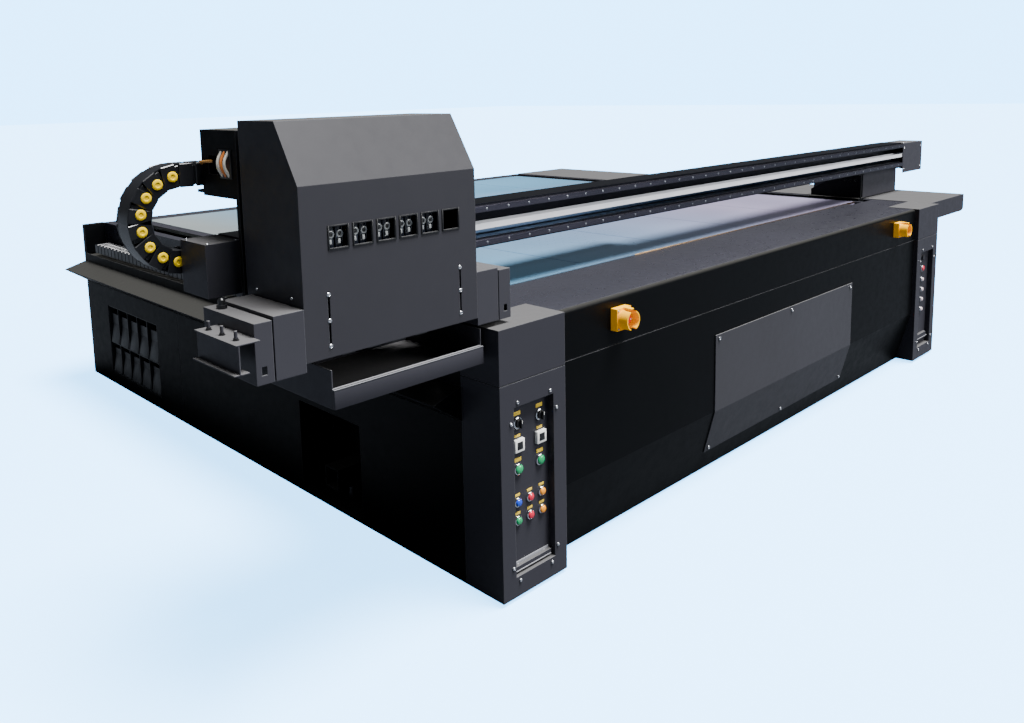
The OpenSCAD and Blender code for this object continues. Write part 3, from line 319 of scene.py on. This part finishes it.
chrome_ring = bare_metal("brass_chrome_plated", "#d4d7dc", "#eceef2", 0.12, (300, 300, 300), 0.03)
cast_alloy = bare_metal("aluminium_cast", "#6f7177", "#85878d", 0.5, (240, 240, 240), 0.4)
table_metal = anodised_table("aluminium_lilac_anodised")
belt_white = toothed_belt("polyurethane_belt")
chain_nylon = moulded("nylon_black", "#101114", "#1b1c20", 0.3, specular=0.6)
# the yellow glows a little: painted light, an emission that brightens it
yellow_abs = moulded("abs_yellow", "#ffb000", "#ffc000", 0.5, specular=0.05, glow=0.15)
cap_yellow = moulded("polypropylene_yellow", "#f6cc00", "#ffd800", 0.4, specular=0.15)
red_abs = moulded("abs_red", "#a80f16", "#c81e24", 0.28, coat=0.3)
black_abs = moulded("abs_black", "#0c0c0e", "#16171a", 0.34)
white_abs = moulded("abs_white", "#e4e5e2", "#f4f4f0", 0.32)
green_lens = moulded("polycarbonate_green", "#067a48", "#12a765", 0.16, coat=0.5)
blue_lens = moulded("polycarbonate_blue", "#0b2fa8", "#1c4fe0", 0.16, coat=0.5)
red_lens = moulded("polycarbonate_red", "#b40f2c", "#e02a48", 0.16, coat=0.5)
amber_lens = moulded("polycarbonate_amber", "#e08400", "#ffa826", 0.16, coat=0.5)
pale_lens = moulded("polycarbonate_pale", "#d8c0c4", "#f0e2e4", 0.2, coat=0.4)
ink_holder = moulded("polypropylene_black", "#141518", "#202126", 0.4)
clear_tank = moulded("polyethylene_clear", "#c6cbcc", "#dde1e1", 0.2, through=0.45)
dark_ink = moulded("ink_dark", "#14161d", "#262a36", 0.12, coat=0.6)
pale_tube = moulded("ptfe_tube", "#d9d4c4", "#efeadd", 0.35)
tan_wire = moulded("pvc_tan", "#a8763a", "#c08c4a", 0.45)
orange_tube = moulded("pvc_orange", "#d8742c", "#ee8c42", 0.4)
label_gold = moulded("polyester_label_gold", "#d8b325", "#ecca44", 0.35)
strip_grey = powder_coat("powder_coat_light", "#66676d", "#7a7b81", 0.4)

finish_of = {
    "base_frame": frame_paint, "levelling_feet": turned_steel, "vacuum_table": table_metal,
    "vacuum_blowers": cast_alloy, "deck_covers": deck_coat, "front_band": black_coat,
    "front_lower_panel": black_coat, "front_cover_plate": plate_coat, "left_column": grey_coat,
    "right_column": grey_coat, "control_plates": grey_coat, "left_side_panels": black_coat,
    "ink_rack": ink_holder, "ink_bottles": ink_holder, "left_ledge": black_coat,
    "right_side_panel": black_coat, "right_wing": grey_coat, "rear_panel": black_coat,
    "y_rails": y_rail_steel, "y_chain_lower_run": chain_nylon, "y_chain_bend_lower": chain_nylon,
    "y_chain_bend_upper": chain_nylon, "y_drive_shaft": turned_steel, "estop_shrouds": yellow_abs,
    "estop_left": red_abs, "estop_right": red_abs, "left_selector_1": black_abs,
    "left_selector_2": black_abs, "green_button_1": green_lens, "green_button_2": green_lens,
    "blue_button": blue_lens, "red_button_upper": red_lens, "amber_button_upper": amber_lens,
    "green_button_small": green_lens, "red_button_lower": red_lens, "amber_button_lower": amber_lens,
    "right_red_button": red_lens, "right_switch_1": pale_lens, "right_switch_2": pale_lens,
    "right_switch_3": pale_lens, "right_switch_4": pale_lens, "gantry_beam": beam_black,
    "gantry_trucks": frame_paint, "x_guide_rails": rail_steel, "x_belt": belt_white,
    "x_drive_pulley": turned_steel, "x_idler_pulley": turned_steel, "left_end_box": dark_coat,
    "right_end_block": dark_coat, "right_leg": dark_coat, "waste_ink_tray": dark_coat,
    "x_chain_lower_run": chain_nylon, "x_chain_bend_lower": chain_nylon,
    "x_chain_bend_upper": chain_nylon, "carriage_plate": frame_paint, "carriage_cover": cover_coat,
    "ink_tanks": clear_tank, "print_heads": black_abs, "uv_lamps": dark_coat,
    "collision_guard": dark_coat,
}
for node_name, finish in finish_of.items():
    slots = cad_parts[node_name].data.materials
    slots.clear()
    slots.append(finish)


# ---------------------------------------------------------------- making pieces
def keep(bm, name, materials, body, smooth=True):
    """Turns a finished bmesh into a piece that rides on a body."""
    bmesh.ops.recalc_face_normals(bm, faces=bm.faces)
    mesh = bpy.data.meshes.new(name)
    bm.to_mesh(mesh)
    bm.free()
    piece = bpy.data.objects.new(name, mesh)
    scene.collection.objects.link(piece)
    for finish in materials if isinstance(materials, (list, tuple)) else [materials]:
        mesh.materials.append(finish)
    if smooth:
        mesh.shade_smooth()
        mesh.set_sharp_from_angle(angle=radians(32))
    if body:
        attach(piece, body)
    return piece


def block(bm, lo, hi, soft=0.0, index=0, segments=2):
    """A block between two corners, with softened edges."""
    size = hi - lo
    shape = Matrix.Translation((lo + hi) / 2) @ Matrix.Diagonal((*size, 1))
    made = bmesh.ops.create_cube(bm, size=1, matrix=shape)["verts"]
    faces = {f for v in made for f in v.link_faces}
    for f in faces:
        f.material_index = index
    if soft:
        edges = list({e for v in made for e in v.link_edges})
        bmesh.ops.bevel(bm, geom=edges, offset=soft, segments=segments, profile=0.5, affect="EDGES",
                        material=-1)
    return made


FACING = {"-y": Matrix.Rotation(pi / 2, 4, "X"), "y": Matrix.Rotation(-pi / 2, 4, "X"),
          "z": Matrix.Identity(4), "-z": Matrix.Rotation(pi, 4, "X"),
          "x": Matrix.Rotation(pi / 2, 4, "Y"), "-x": Matrix.Rotation(-pi / 2, 4, "Y")}


def turned(bm, outline, place, facing, steps=24, index=0):
    """Spins an outline of (radius, height) points, in mm, round an axis through a place."""
    line = [bm.verts.new((r / 1000, 0, h / 1000)) for r, h in outline]
    edges = [bm.edges.new(pair) for pair in zip(line, line[1:])]
    before = set(bm.faces)
    bmesh.ops.spin(bm, geom=line + edges, cent=(0, 0, 0), axis=(0, 0, 1), angle=2 * pi, steps=steps,
                          use_merge=True)
    faces = set(bm.faces) - before
    verts = list({v for f in faces for v in f.verts})
    bmesh.ops.remove_doubles(bm, verts=verts, dist=1e-6)
    verts = [v for v in verts if v.is_valid]
    bmesh.ops.transform(bm, matrix=Matrix.Translation(place) @ FACING[facing], verts=verts)
    for f in set(bm.faces) - before:
        f.material_index = index


def socket_screw(bm, place, facing, r=6.0, index=0, steps=12):
    """A button-head screw with a hollow in its head."""
    turned(bm, [(0, 1.0), (r * 0.42, 1.0), (r * 0.48, 2.6), (r * 0.8, 2.2), (r, 0.8), (r, 0)],
           place, facing, steps, index)


# ---------------------------------------------------------------- emergency stops
# the face of the yellow boxes, and the height of the stop buttons on it
STOP_Y, STOP_Z = -6, 772


def stop_head(side, x):
    """A mushroom head with a waist, on a short collar."""
    bm = bmesh.new()
    face = at(x, STOP_Y, STOP_Z)
    turned(bm, [(0, 20), (10, 19.4), (16, 17.6), (19.4, 13.8), (20, 10), (18.6, 6.8), (13, 5), (11, 4.2)],
           face, "-y", 32)
    for k in range(3):
        angle = k * 2 * pi / 3
        middle = at(x + 11 * cos(angle), STOP_Y - 19.2, STOP_Z + 11 * sin(angle))
        turned(bm, [(0, 0.8), (2.0, 0.6), (2.4, 0)], middle, "-y", 8, 1)
    piece = keep(bm, "stop_head_" + side, [red_abs, white_abs], "estop_" + side + "_body")
    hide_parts("estop_" + side)


STOPS = {"left": 575, "right": 2905}
for side, x in STOPS.items():
    stop_head(side, x)
    bm = bmesh.new()
    turned(bm, [(14.5, 0), (14.5, 0.8), (17, 0.8), (17.6, 0)], at(x, STOP_Y, STOP_Z), "-y", 24)
    keep(bm, "stop_collar_" + side, black_abs, "base")
    bm = bmesh.new()
    block(bm, at(x - 8, -40, 808), at(x + 8, -8, 812), 0.001)
    for corner in (-30, 30):
        for row in (-30, 30):
            socket_screw(bm, at(x + corner, STOP_Y, STOP_Z + row), "-y", 4, 1)
    keep(bm, "stop_tab_" + side, [yellow_abs, zinc], "base")


# ---------------------------------------------------------------- control columns
PLATE_Y = 25
PAIR_X = (94.5, 190.5)
TRIO_X = (89.5, 142.5, 195.5)
SELECTOR_Z, GAUGE_Z, LARGE_Z, UPPER_Z, LOWER_Z = 545, 476, 400, 296, 238
RIGHT_X = 3297.5


def lens_button(node, x, z, r, lens):
    """A domed lens in a plated ring; the ring stays and the lens is pressed."""
    bm = bmesh.new()
    turned(bm, [(0, 13), (r * 0.5, 12.6), (r * 0.85, 11.2), (r, 9), (r, 5), (6, 5), (6, -10)],
           at(x, PLATE_Y, z), "-y", 24)
    piece = keep(bm, node + "_lens", lens, node + "_body")
    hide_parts(node)
    bm = bmesh.new()
    turned(bm, [(r + 0.6, 0), (r + 0.6, 5.5), (r + 1.8, 6.6), (r + 4, 5.2), (r + 4.6, 0)],
           at(x, PLATE_Y, z), "-y", 24)
    keep(bm, node + "_ring", chrome_ring, "base")


for node, x, z, r, lens in (
        ("green_button_1", PAIR_X[0], LARGE_Z, 14, green_lens),
        ("green_button_2", PAIR_X[1], LARGE_Z, 14, green_lens),
        ("blue_button", TRIO_X[0], UPPER_Z, 11, blue_lens),
        ("red_button_upper", TRIO_X[1], UPPER_Z, 11, red_lens),
        ("amber_button_upper", TRIO_X[2], UPPER_Z, 11, amber_lens),
        ("green_button_small", TRIO_X[0], LOWER_Z, 11, green_lens),
        ("red_button_lower", TRIO_X[1], LOWER_Z, 11, red_lens),
        ("amber_button_lower", TRIO_X[2], LOWER_Z, 11, amber_lens),
        ("right_red_button", RIGHT_X, 506, 14, red_lens),
        ("right_switch_1", RIGHT_X, 444, 10, pale_lens),
        ("right_switch_2", RIGHT_X, 388, 10, pale_lens),
        ("right_switch_3", RIGHT_X, 332, 10, pale_lens),
        ("right_switch_4", RIGHT_X, 276, 10, pale_lens)):
    lens_button(node, x, z, r, lens)

for number, x in enumerate(PAIR_X, 1):
    node = "left_selector_%d" % number
    bm = bmesh.new()
    turned(bm, [(0, 13), (11, 13), (13, 11.5), (13.4, 6), (6, 6), (6, -10)],
           at(x, PLATE_Y, SELECTOR_Z), "-y", 28)
    block(bm, at(x - 3.2, PLATE_Y - 22, SELECTOR_Z - 13),
          at(x + 3.2, PLATE_Y - 12, SELECTOR_Z + 13), 0.0014)
    block(bm, at(x - 0.8, PLATE_Y - 22.6, SELECTOR_Z + 2),
          at(x + 0.8, PLATE_Y - 21.5, SELECTOR_Z + 12), 0.0003, 1)
    piece = keep(bm, node + "_knob", [black_abs, white_abs], node + "_body")
    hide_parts(node)
    bm = bmesh.new()
    turned(bm, [(14, 0), (14, 5), (15, 6), (18, 4.6), (18.4, 0)], at(x, PLATE_Y, SELECTOR_Z), "-y", 28)
    keep(bm, node + "_ring", chrome_ring, "base")

bm = bmesh.new()
for x in PAIR_X:
    block(bm, at(x - 20, PLATE_Y - 12, GAUGE_Z - 20), at(x + 20, PLATE_Y, GAUGE_Z + 20), 0.002)
    block(bm, at(x - 12, PLATE_Y - 13, GAUGE_Z - 12), at(x + 12, PLATE_Y - 11, GAUGE_Z + 12), 0.001, 1)
keep(bm, "gauges", [white_abs, black_abs], "base")

bm = bmesh.new()
for x in PAIR_X:
    for z in (SELECTOR_Z + 29, LARGE_Z + 29):
        block(bm, at(x - 14, PLATE_Y - 0.8, z - 6), at(x + 14, PLATE_Y + 0.2, z + 6), 0.0003)
    block(bm, at(x - 12, PLATE_Y - 0.8, GAUGE_Z + 24), at(x + 12, PLATE_Y + 0.2, GAUGE_Z + 32), 0.0003)
for x in TRIO_X:
    for z in (UPPER_Z + 22, LOWER_Z + 22):
        block(bm, at(x - 11, PLATE_Y - 0.8, z - 4), at(x + 11, PLATE_Y + 0.2, z + 4), 0.0003)
keep(bm, "label_plates", label_gold, "base")

bm = bmesh.new()
for x0 in (0, 3155):
    for x in (43.5, 241.5):
        for z in (110, 560):
            socket_screw(bm, at(x0 + x, -2.4, z), "-y", 5.5)
    for x in (71.5, 213.5):
        for z in (62, 620):
            socket_screw(bm, at(x0 + x, -2.4, z), "-y", 5.5)
keep(bm, "column_screws", zinc, "base")

bm = bmesh.new()
for x0, z in ((0, 92), (3155, 120)):
    block(bm, at(x0 + 64, PLATE_Y - 16, z - 8), at(x0 + 221, PLATE_Y, z - 5), 0.0008)
    block(bm, at(x0 + 64, PLATE_Y - 3, z - 8), at(x0 + 221, PLATE_Y, z + 16), 0.0008)
    for x in (84, 200):
        socket_screw(bm, at(x0 + x, PLATE_Y - 3, z + 6), "-y", 4)
keep(bm, "recess_strips", strip_grey, "base")

# ---------------------------------------------------------------- front cover plate
bm = bmesh.new()
for x in (1202, 1781, 2360):
    for y, z in ((13, 564), (56.4, 112)):
        socket_screw(bm, at(x, y, z), "-y", 7.3)
keep(bm, "plate_screws", zinc, "base")

# ---------------------------------------------------------------- table edge
bm = bmesh.new()
block(bm, at(1180, 399.2, 842), at(3268, 402.0, 850.6), 0.0005)
keep(bm, "table_edge", bare_metal("aluminium_gold_anodised", "#b08a5c", "#caa678", 0.3, (3, 700, 700)),
     "base")

# a black sheet that closes the base from below: painted shade that keeps the inside of the base dark
bm = bmesh.new()
block(bm, at(8, 96, 14), at(3432, 3248, 17), 0.0008)
keep(bm, "bottom_sheet", black_coat, "base")

# black strips behind the seams between the panels: painted shade that keeps the gaps dark
bm = bmesh.new()
block(bm, at(288, 23.2, 664), at(3152, 25.2, 704), 0.0004)
for lo, hi in ((3.2, 5.2), (3434.8, 3436.8)):
    block(bm, at(lo, 168.5, 16), at(hi, 186, 510), 0.0004)
block(bm, at(3.2, 2112, 16), at(5.2, 2148, 510), 0.0004)
keep(bm, "seam_strips", black_coat, "base")

# ---------------------------------------------------------------- gantry
bm = bmesh.new()
for k in range(43):
    for z in (1021, 1135):
        turned(bm, [(0, 0.3), (4, 0.3), (4.6, 0)], at(-500 + k * 103, 373, z), "-y", 10)
keep(bm, "rail_plugs", turned_steel, "gantry")

# painted reflection: a blue-grey strip on the beam face stands in for the bed mirrored in it
bm = bmesh.new()
block(bm, at(-560, 446, 1040), at(3895, 452, 1062), 0.001)
keep(bm, "beam_trims", bare_metal("aluminium_blue_grey", "#4f6a8c", "#6f86a4", 0.25, (3, 700, 700)),
     "gantry")

bm = bmesh.new()
for x in (-662, -580):
    for y in (390, 510):
        socket_screw(bm, at(x, y, 1149), "z", 5)
for x in (3925, 4190):
    for y in (390, 510):
        socket_screw(bm, at(x, y, 1149), "z", 5)
    for z in (990, 1120):
        socket_screw(bm, at(x, 380, z), "-y", 6)
keep(bm, "end_box_screws", zinc, "gantry")

bm = bmesh.new()
block(bm, at(-530, 36, 754), at(-25, 44, 806), 0.0015)
block(bm, at(-530, 36, 802), at(-25, 52, 806), 0.001, 1)
keep(bm, "tray_front_bar", [grey_coat, strip_grey], "gantry")

# ---------------------------------------------------------------- carriage
WINDOW_X, WINDOW_PITCH = -519, 72.5

bm = bmesh.new()
for k in range(5):
    for s in (-1, 1):
        x = WINDOW_X + k * WINDOW_PITCH + 27 + s * 13
        block(bm, at(x - 11, 60, 1128), at(x + 11, 102, 1226), 0.003, 3)
        turned(bm, [(0, 16), (7, 16), (8.5, 14), (8.5, 0)], at(x, 78, 1226), "z", 16, 1)
        turned(bm, [(4, 0), (4, 44)], at(x, 78, 1242), "z", 12, 2)
        turned(bm, [(5.5, 0), (5.5, 2.5), (7, 4), (9.5, 3), (10, 0)], at(x, 59, 1188), "-y", 18, 0)
        turned(bm, [(0, 3), (3.6, 2.6), (4.4, 0)], at(x, 59, 1188), "-y", 14, 1)
        block(bm, at(x - 7, 54, 1164), at(x + 1, 60, 1176), 0.0015, 0)
tanks = keep(bm, "ink_gauges", [clear_tank, black_abs, pale_tube, dark_ink], "carriage")
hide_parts("ink_tanks")

bm = bmesh.new()
for k in range(6):
    x = WINDOW_X + k * WINDOW_PITCH
    for lo, hi in ((at(x - 4, 40.5, 1153), at(x, 43.2, 1213)),
                   (at(x + 54, 40.5, 1153), at(x + 58, 43.2, 1213)),
                   (at(x, 40.5, 1153), at(x + 54, 43.2, 1157)),
                   (at(x, 40.5, 1209), at(x + 54, 43.2, 1213))):
        block(bm, lo, hi, 0.0006)
keep(bm, "window_frames", black_abs, "carriage")

bm = bmesh.new()
for x in (-528, -100):
    for z in (916, 980, 1045):
        socket_screw(bm, at(x, 43, z), "-y", 6)
for y in (95, 260):
    socket_screw(bm, at(-599, y, 1040), "-x", 4)
    socket_screw(bm, at(-37, y, 1040), "x", 4)
keep(bm, "cover_screws", zinc, "carriage")


def lamp_trim(side, inner, outward):
    """A cable gland on one lamp housing."""
    bm = bmesh.new()
    turned(bm, [(0, 26), (5, 26), (9, 22), (9, 10), (13, 9), (13, 0)],
           at(inner + outward * 108, 240, 1013), "z", 18, 1)
    keep(bm, "lamp_trim_" + side, [dark_coat, black_abs], "carriage")


lamp_trim("left", -599, -1)
lamp_trim("right", -37, 1)

bm = bmesh.new()
for k in range(3):
    turned(bm, [(0, 14), (2.6, 13.6), (3, 12), (3, 6), (6, 5.4), (6, 1.2), (8, 1), (8, 0)],
           at(-769, 57 + k * 66, 981), "z", 12)
keep(bm, "guard_nuts", black_abs, "carriage")


# ---------------------------------------------------------------- drag chains
def link_plates(bm, middle, across, along, half_width, pitch, height):
    """One link: two pairs of overlapping side plates and two crossbars."""
    up = along.cross(across)
    turn = Matrix((along, across, up)).transposed().to_4x4()
    turn.translation = middle
    start = len(bm.verts)
    for side in (-1, 1):
        block(bm, Vector((-pitch * 0.56, side * half_width - 0.003, -height * 0.5)),
              Vector((pitch * 0.3, side * half_width + 0.003, height * 0.5)), 0.002, segments=1)
        inner = side * (half_width - 0.005)
        block(bm, Vector((pitch * 0.1, inner - 0.003, -height * 0.4)),
              Vector((pitch * 0.56, inner + 0.003, height * 0.4)), 0.002, segments=1)
    for level in (-1, 1):
        block(bm, Vector((-pitch * 0.28, -half_width, level * height * 0.44 - 0.003)),
              Vector((pitch * 0.28, half_width, level * height * 0.44 + 0.003)), 0.0015, segments=1)
    bm.verts.ensure_lookup_table()
    bmesh.ops.transform(bm, matrix=turn, verts=bm.verts[start:])


def chain_bend(name, body, centre, radius, across, spoke, tangent, count, node,
               half_width, pitch, height):
    """A quarter of links; spoke and tangent give the plane, with angles from spoke."""
    bm = bmesh.new()
    for k in range(count):
        angle = (k + 0.5) * pi / 2 / count
        outward = spoke * cos(angle) + tangent * sin(angle)
        along = tangent * cos(angle) - spoke * sin(angle)
        link_plates(bm, centre + outward * radius, across, along, half_width, pitch, height)
    piece = keep(bm, name, chain_nylon, body, smooth=False)
    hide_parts(node)
    return piece


X_CENTRE = at(-655, 570, 1202)
X_RADIUS, Y_RADIUS = 0.117, 0.055
LINK_HALF, LINK_H, SMALL_LINK_H = 0.036, 0.064, 0.046
RIGHT, BACK, UP = Vector((1, 0, 0)), Vector((0, 1, 0)), Vector((0, 0, 1))
chain_bend("cross_bend_lower", "x_chain_bend_lower_body", X_CENTRE, X_RADIUS, BACK, -RIGHT, -UP, 4,
           "x_chain_bend_lower", LINK_HALF, 0.046, LINK_H)
chain_bend("cross_bend_upper", "x_chain_bend_upper_body", X_CENTRE, X_RADIUS, BACK, -RIGHT, UP, 4,
           "x_chain_bend_upper", LINK_HALF, 0.046, LINK_H)

for half, way in (("lower", -UP), ("upper", UP)):
    bm = bmesh.new()
    for radius in (0.088, 0.146):
        rail = [bm.verts.new(X_CENTRE + way * r + BACK * y)
                for r, y in ((radius, -0.033), (radius, 0.033),
                             (radius + 0.003, 0.033), (radius + 0.003, -0.033))]
        loop = [bm.edges.new((rail[k], rail[k - 1])) for k in range(4)]
        turn = -1 if half == "lower" else 1
        bmesh.ops.spin(bm, geom=rail + loop, cent=X_CENTRE, axis=BACK, angle=-turn * pi / 2, steps=12)
    keep(bm, "bend_bands_" + half, chain_nylon, "x_chain_bend_%s_body" % half)
    bm = bmesh.new()
    for k in range(4):
        angle = (k + 0.5) * pi / 8
        outward = -RIGHT * cos(angle) + way * sin(angle)
        turned(bm, [(0, 3.0), (5.5, 3.0), (7, 4.4), (11, 4.4), (13.6, 3.4), (14.6, 1.2), (14.6, 0)],
               X_CENTRE + outward * X_RADIUS - BACK * 0.0375, "-y", 20)
    keep(bm, "pin_covers_" + half, cap_yellow, "x_chain_bend_%s_body" % half)

bm = bmesh.new()
for k in range(3):
    link_plates(bm, at(-632 + k * 46, 570, 1319), BACK, RIGHT, LINK_HALF, 0.046, LINK_H)
keep(bm, "cross_lead", chain_nylon, "x_chain_bend_upper_body", smooth=False)

bm = bmesh.new()
for k in range(26):
    link_plates(bm, at(-648 + k * 4.9, 570, 1319), BACK, RIGHT, 0.032, 0.0049, 0.056)
piece = keep(bm, "cross_upper_run", chain_nylon, None, smooth=False)
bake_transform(piece)

bm = bmesh.new()
for k in range(42):
    link_plates(bm, at(-630 + k * 47, 570, 1085), BACK, RIGHT, LINK_HALF, 0.047, LINK_H)
piece = keep(bm, "cross_lower_run", chain_nylon, None, smooth=False)
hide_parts("x_chain_lower_run")
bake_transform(piece)

Y_CENTRE = at(55, 480, 780)
chain_bend("long_bend_lower", "y_chain_bend_lower_body", Y_CENTRE, Y_RADIUS, RIGHT, -BACK, -UP, 3,
           "y_chain_bend_lower", LINK_HALF, 0.030, SMALL_LINK_H)
chain_bend("long_bend_upper", "y_chain_bend_upper_body", Y_CENTRE, Y_RADIUS, RIGHT, -BACK, UP, 3,
           "y_chain_bend_upper", LINK_HALF, 0.030, SMALL_LINK_H)
bm = bmesh.new()
for k in range(4):
    link_plates(bm, at(55, 502 + k * 41, 835), RIGHT, BACK, LINK_HALF, 0.042, SMALL_LINK_H)
keep(bm, "long_lead", chain_nylon, "y_chain_bend_upper_body", smooth=False)
bm = bmesh.new()
for k in range(30):
    link_plates(bm, at(55, 484 + k * 5.2, 835), RIGHT, BACK, 0.032, 0.0052, 0.04)
piece = keep(bm, "long_upper_run", chain_nylon, None, smooth=False)
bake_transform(piece)
bm = bmesh.new()
for k in range(58):
    link_plates(bm, at(55, 503 + k * 46, 725), RIGHT, BACK, LINK_HALF, 0.046, SMALL_LINK_H)
piece = keep(bm, "long_lower_run", chain_nylon, None, smooth=False)
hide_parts("y_chain_lower_run")
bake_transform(piece)


# ---------------------------------------------------------------- ink bay
bm = bmesh.new()
for k in range(5):
    y = 2374 + k * 121.2
    for z, h in ((79, 110), (243, 150)):
        start = len(bm.verts)
        block(bm, at(-1, y + 8, z), at(26, y + 109, z + h), 0.006, 0, 3)
        bm.verts.ensure_lookup_table()
        tilt = at(0, y, z)
        lean = Matrix.Translation(tilt) @ Matrix.Rotation(radians(9), 4, "Y") @ Matrix.Translation(-tilt)
        bmesh.ops.transform(bm, matrix=lean, verts=bm.verts[start:])
        turned(bm, [(0, 12), (14, 12), (17, 9), (17, 0)], at(52, y + 58, z + h), "z", 20, 1)
keep(bm, "ink_holder_fronts", [ink_holder, black_abs], "base")

# ---------------------------------------------------------------- ink lines
def line(name, points, diameter, finish):
    """A soft line on one smooth curve through its points."""
    data = bpy.data.curves.new(name, "CURVE")
    data.dimensions = "3D"
    data.bevel_depth = diameter / 2
    data.bevel_resolution = 3
    data.resolution_u = 6
    data.use_fill_caps = True
    spline = data.splines.new("POLY")
    spline.points.add(len(points) - 1)
    for point, place in zip(spline.points, points):
        point.co = (*place, 1)
    data.materials.append(finish)
    piece = bpy.data.objects.new(name, data)
    scene.collection.objects.link(piece)
    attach(piece, "carriage")


def bow(start, end, sag, count=18):
    """Points on a smooth bow from start to end, pushed out by sag in its middle."""
    return [start.lerp(end, t / (count - 1)) + sag * sin(pi * t / (count - 1)) for t in range(count)]


line("wire_tan", bow(at(-598, 458, 1356), at(-562, 545, 1338), Vector((-0.03, 0.0, 0.006))),
     0.008, tan_wire)
for number in range(3):
    y = 366 + number * 18
    line("ink_tube_%d" % (number + 1),
         bow(at(-599, y, 1384), at(-599, y, 1320), Vector((-0.014, 0, 0))), 0.008,
         orange_tube if number == 1 else pale_tube)
bm = bmesh.new()
block(bm, at(-602, 352, 1314), at(-598, 416, 1390), 0.001)
keep(bm, "tube_port", black_abs, "carriage")

# ---------------------------------------------------------------- stage
floor_bm = bmesh.new()
bmesh.ops.create_grid(floor_bm, x_segments=1, y_segments=1, size=60)
floor_mesh = bpy.data.meshes.new("floor")
floor_bm.to_mesh(floor_mesh)
floor_bm.free()
floor = bpy.data.objects.new("floor", floor_mesh)
scene.collection.objects.link(floor)
# The floor looks pale and even, and sends little light back up at the object.
floor_finish, nodes = begin("floor_pale")
paint = add(nodes, "ShaderNodeBsdfDiffuse", {"Color": colour("#a4d3fb")})
glow = add(nodes, "ShaderNodeEmission", {"Color": colour("#70c0ff"), "Strength": 5.6})
lit = add(nodes, "ShaderNodeAddShader", {0: paint.outputs[0], 1: glow.outputs[0]})
quiet = add(nodes, "ShaderNodeBsdfDiffuse", {"Color": colour("#50555c")})
looked_at = add(nodes, "ShaderNodeLightPath").outputs["Is Camera Ray"]
close(nodes, add(nodes, "ShaderNodeMixShader", {0: looked_at, 1: quiet.outputs[0], 2: lit.outputs[0]}))
floor_mesh.materials.append(floor_finish)

# The backdrop is bright and pale to look at, and gives the object a softer fill.
world = bpy.data.worlds.new("studio")
scene.world = world
world.use_nodes = True
nodes = world.node_tree.nodes
nodes.clear()
fill = add(nodes, "ShaderNodeBackground", {"Color": colour("#e6ecf4"), "Strength": 0.1})
backdrop = add(nodes, "ShaderNodeBackground", {"Color": colour("#70c0ff"), "Strength": 9.4})
seen = add(nodes, "ShaderNodeLightPath").outputs["Is Camera Ray"]
both = add(nodes, "ShaderNodeMixShader", {0: seen, 1: fill.outputs[0], 2: backdrop.outputs[0]})
add(nodes, "ShaderNodeOutputWorld", {"Surface": both.outputs[0]})

sun_data = bpy.data.lights.new("overhead_sun", "SUN")
sun_data.energy = 13
sun_data.angle = radians(28)
sun = bpy.data.objects.new("overhead_sun", sun_data)
sun.rotation_euler = Vector((0.20, -0.26, 1.0)).to_track_quat("Z", "Y").to_euler()
scene.collection.objects.link(sun)


def soft_light(name, place, aim, size, power, tint="#ffffff"):
    data = bpy.data.lights.new(name, "AREA")
    data.shape = "SQUARE"
    data.size = size
    data.energy = power
    data.color = colour(tint)[:3]
    lamp = bpy.data.objects.new(name, data)
    lamp.location = place
    lamp.rotation_euler = (Vector(aim) - Vector(place)).to_track_quat("-Z", "Y").to_euler()
    scene.collection.objects.link(lamp)


soft_light("front_fill", (3.0, -8.0, 4.0), (-0.5, -1.5, 0.7), 4, 520)
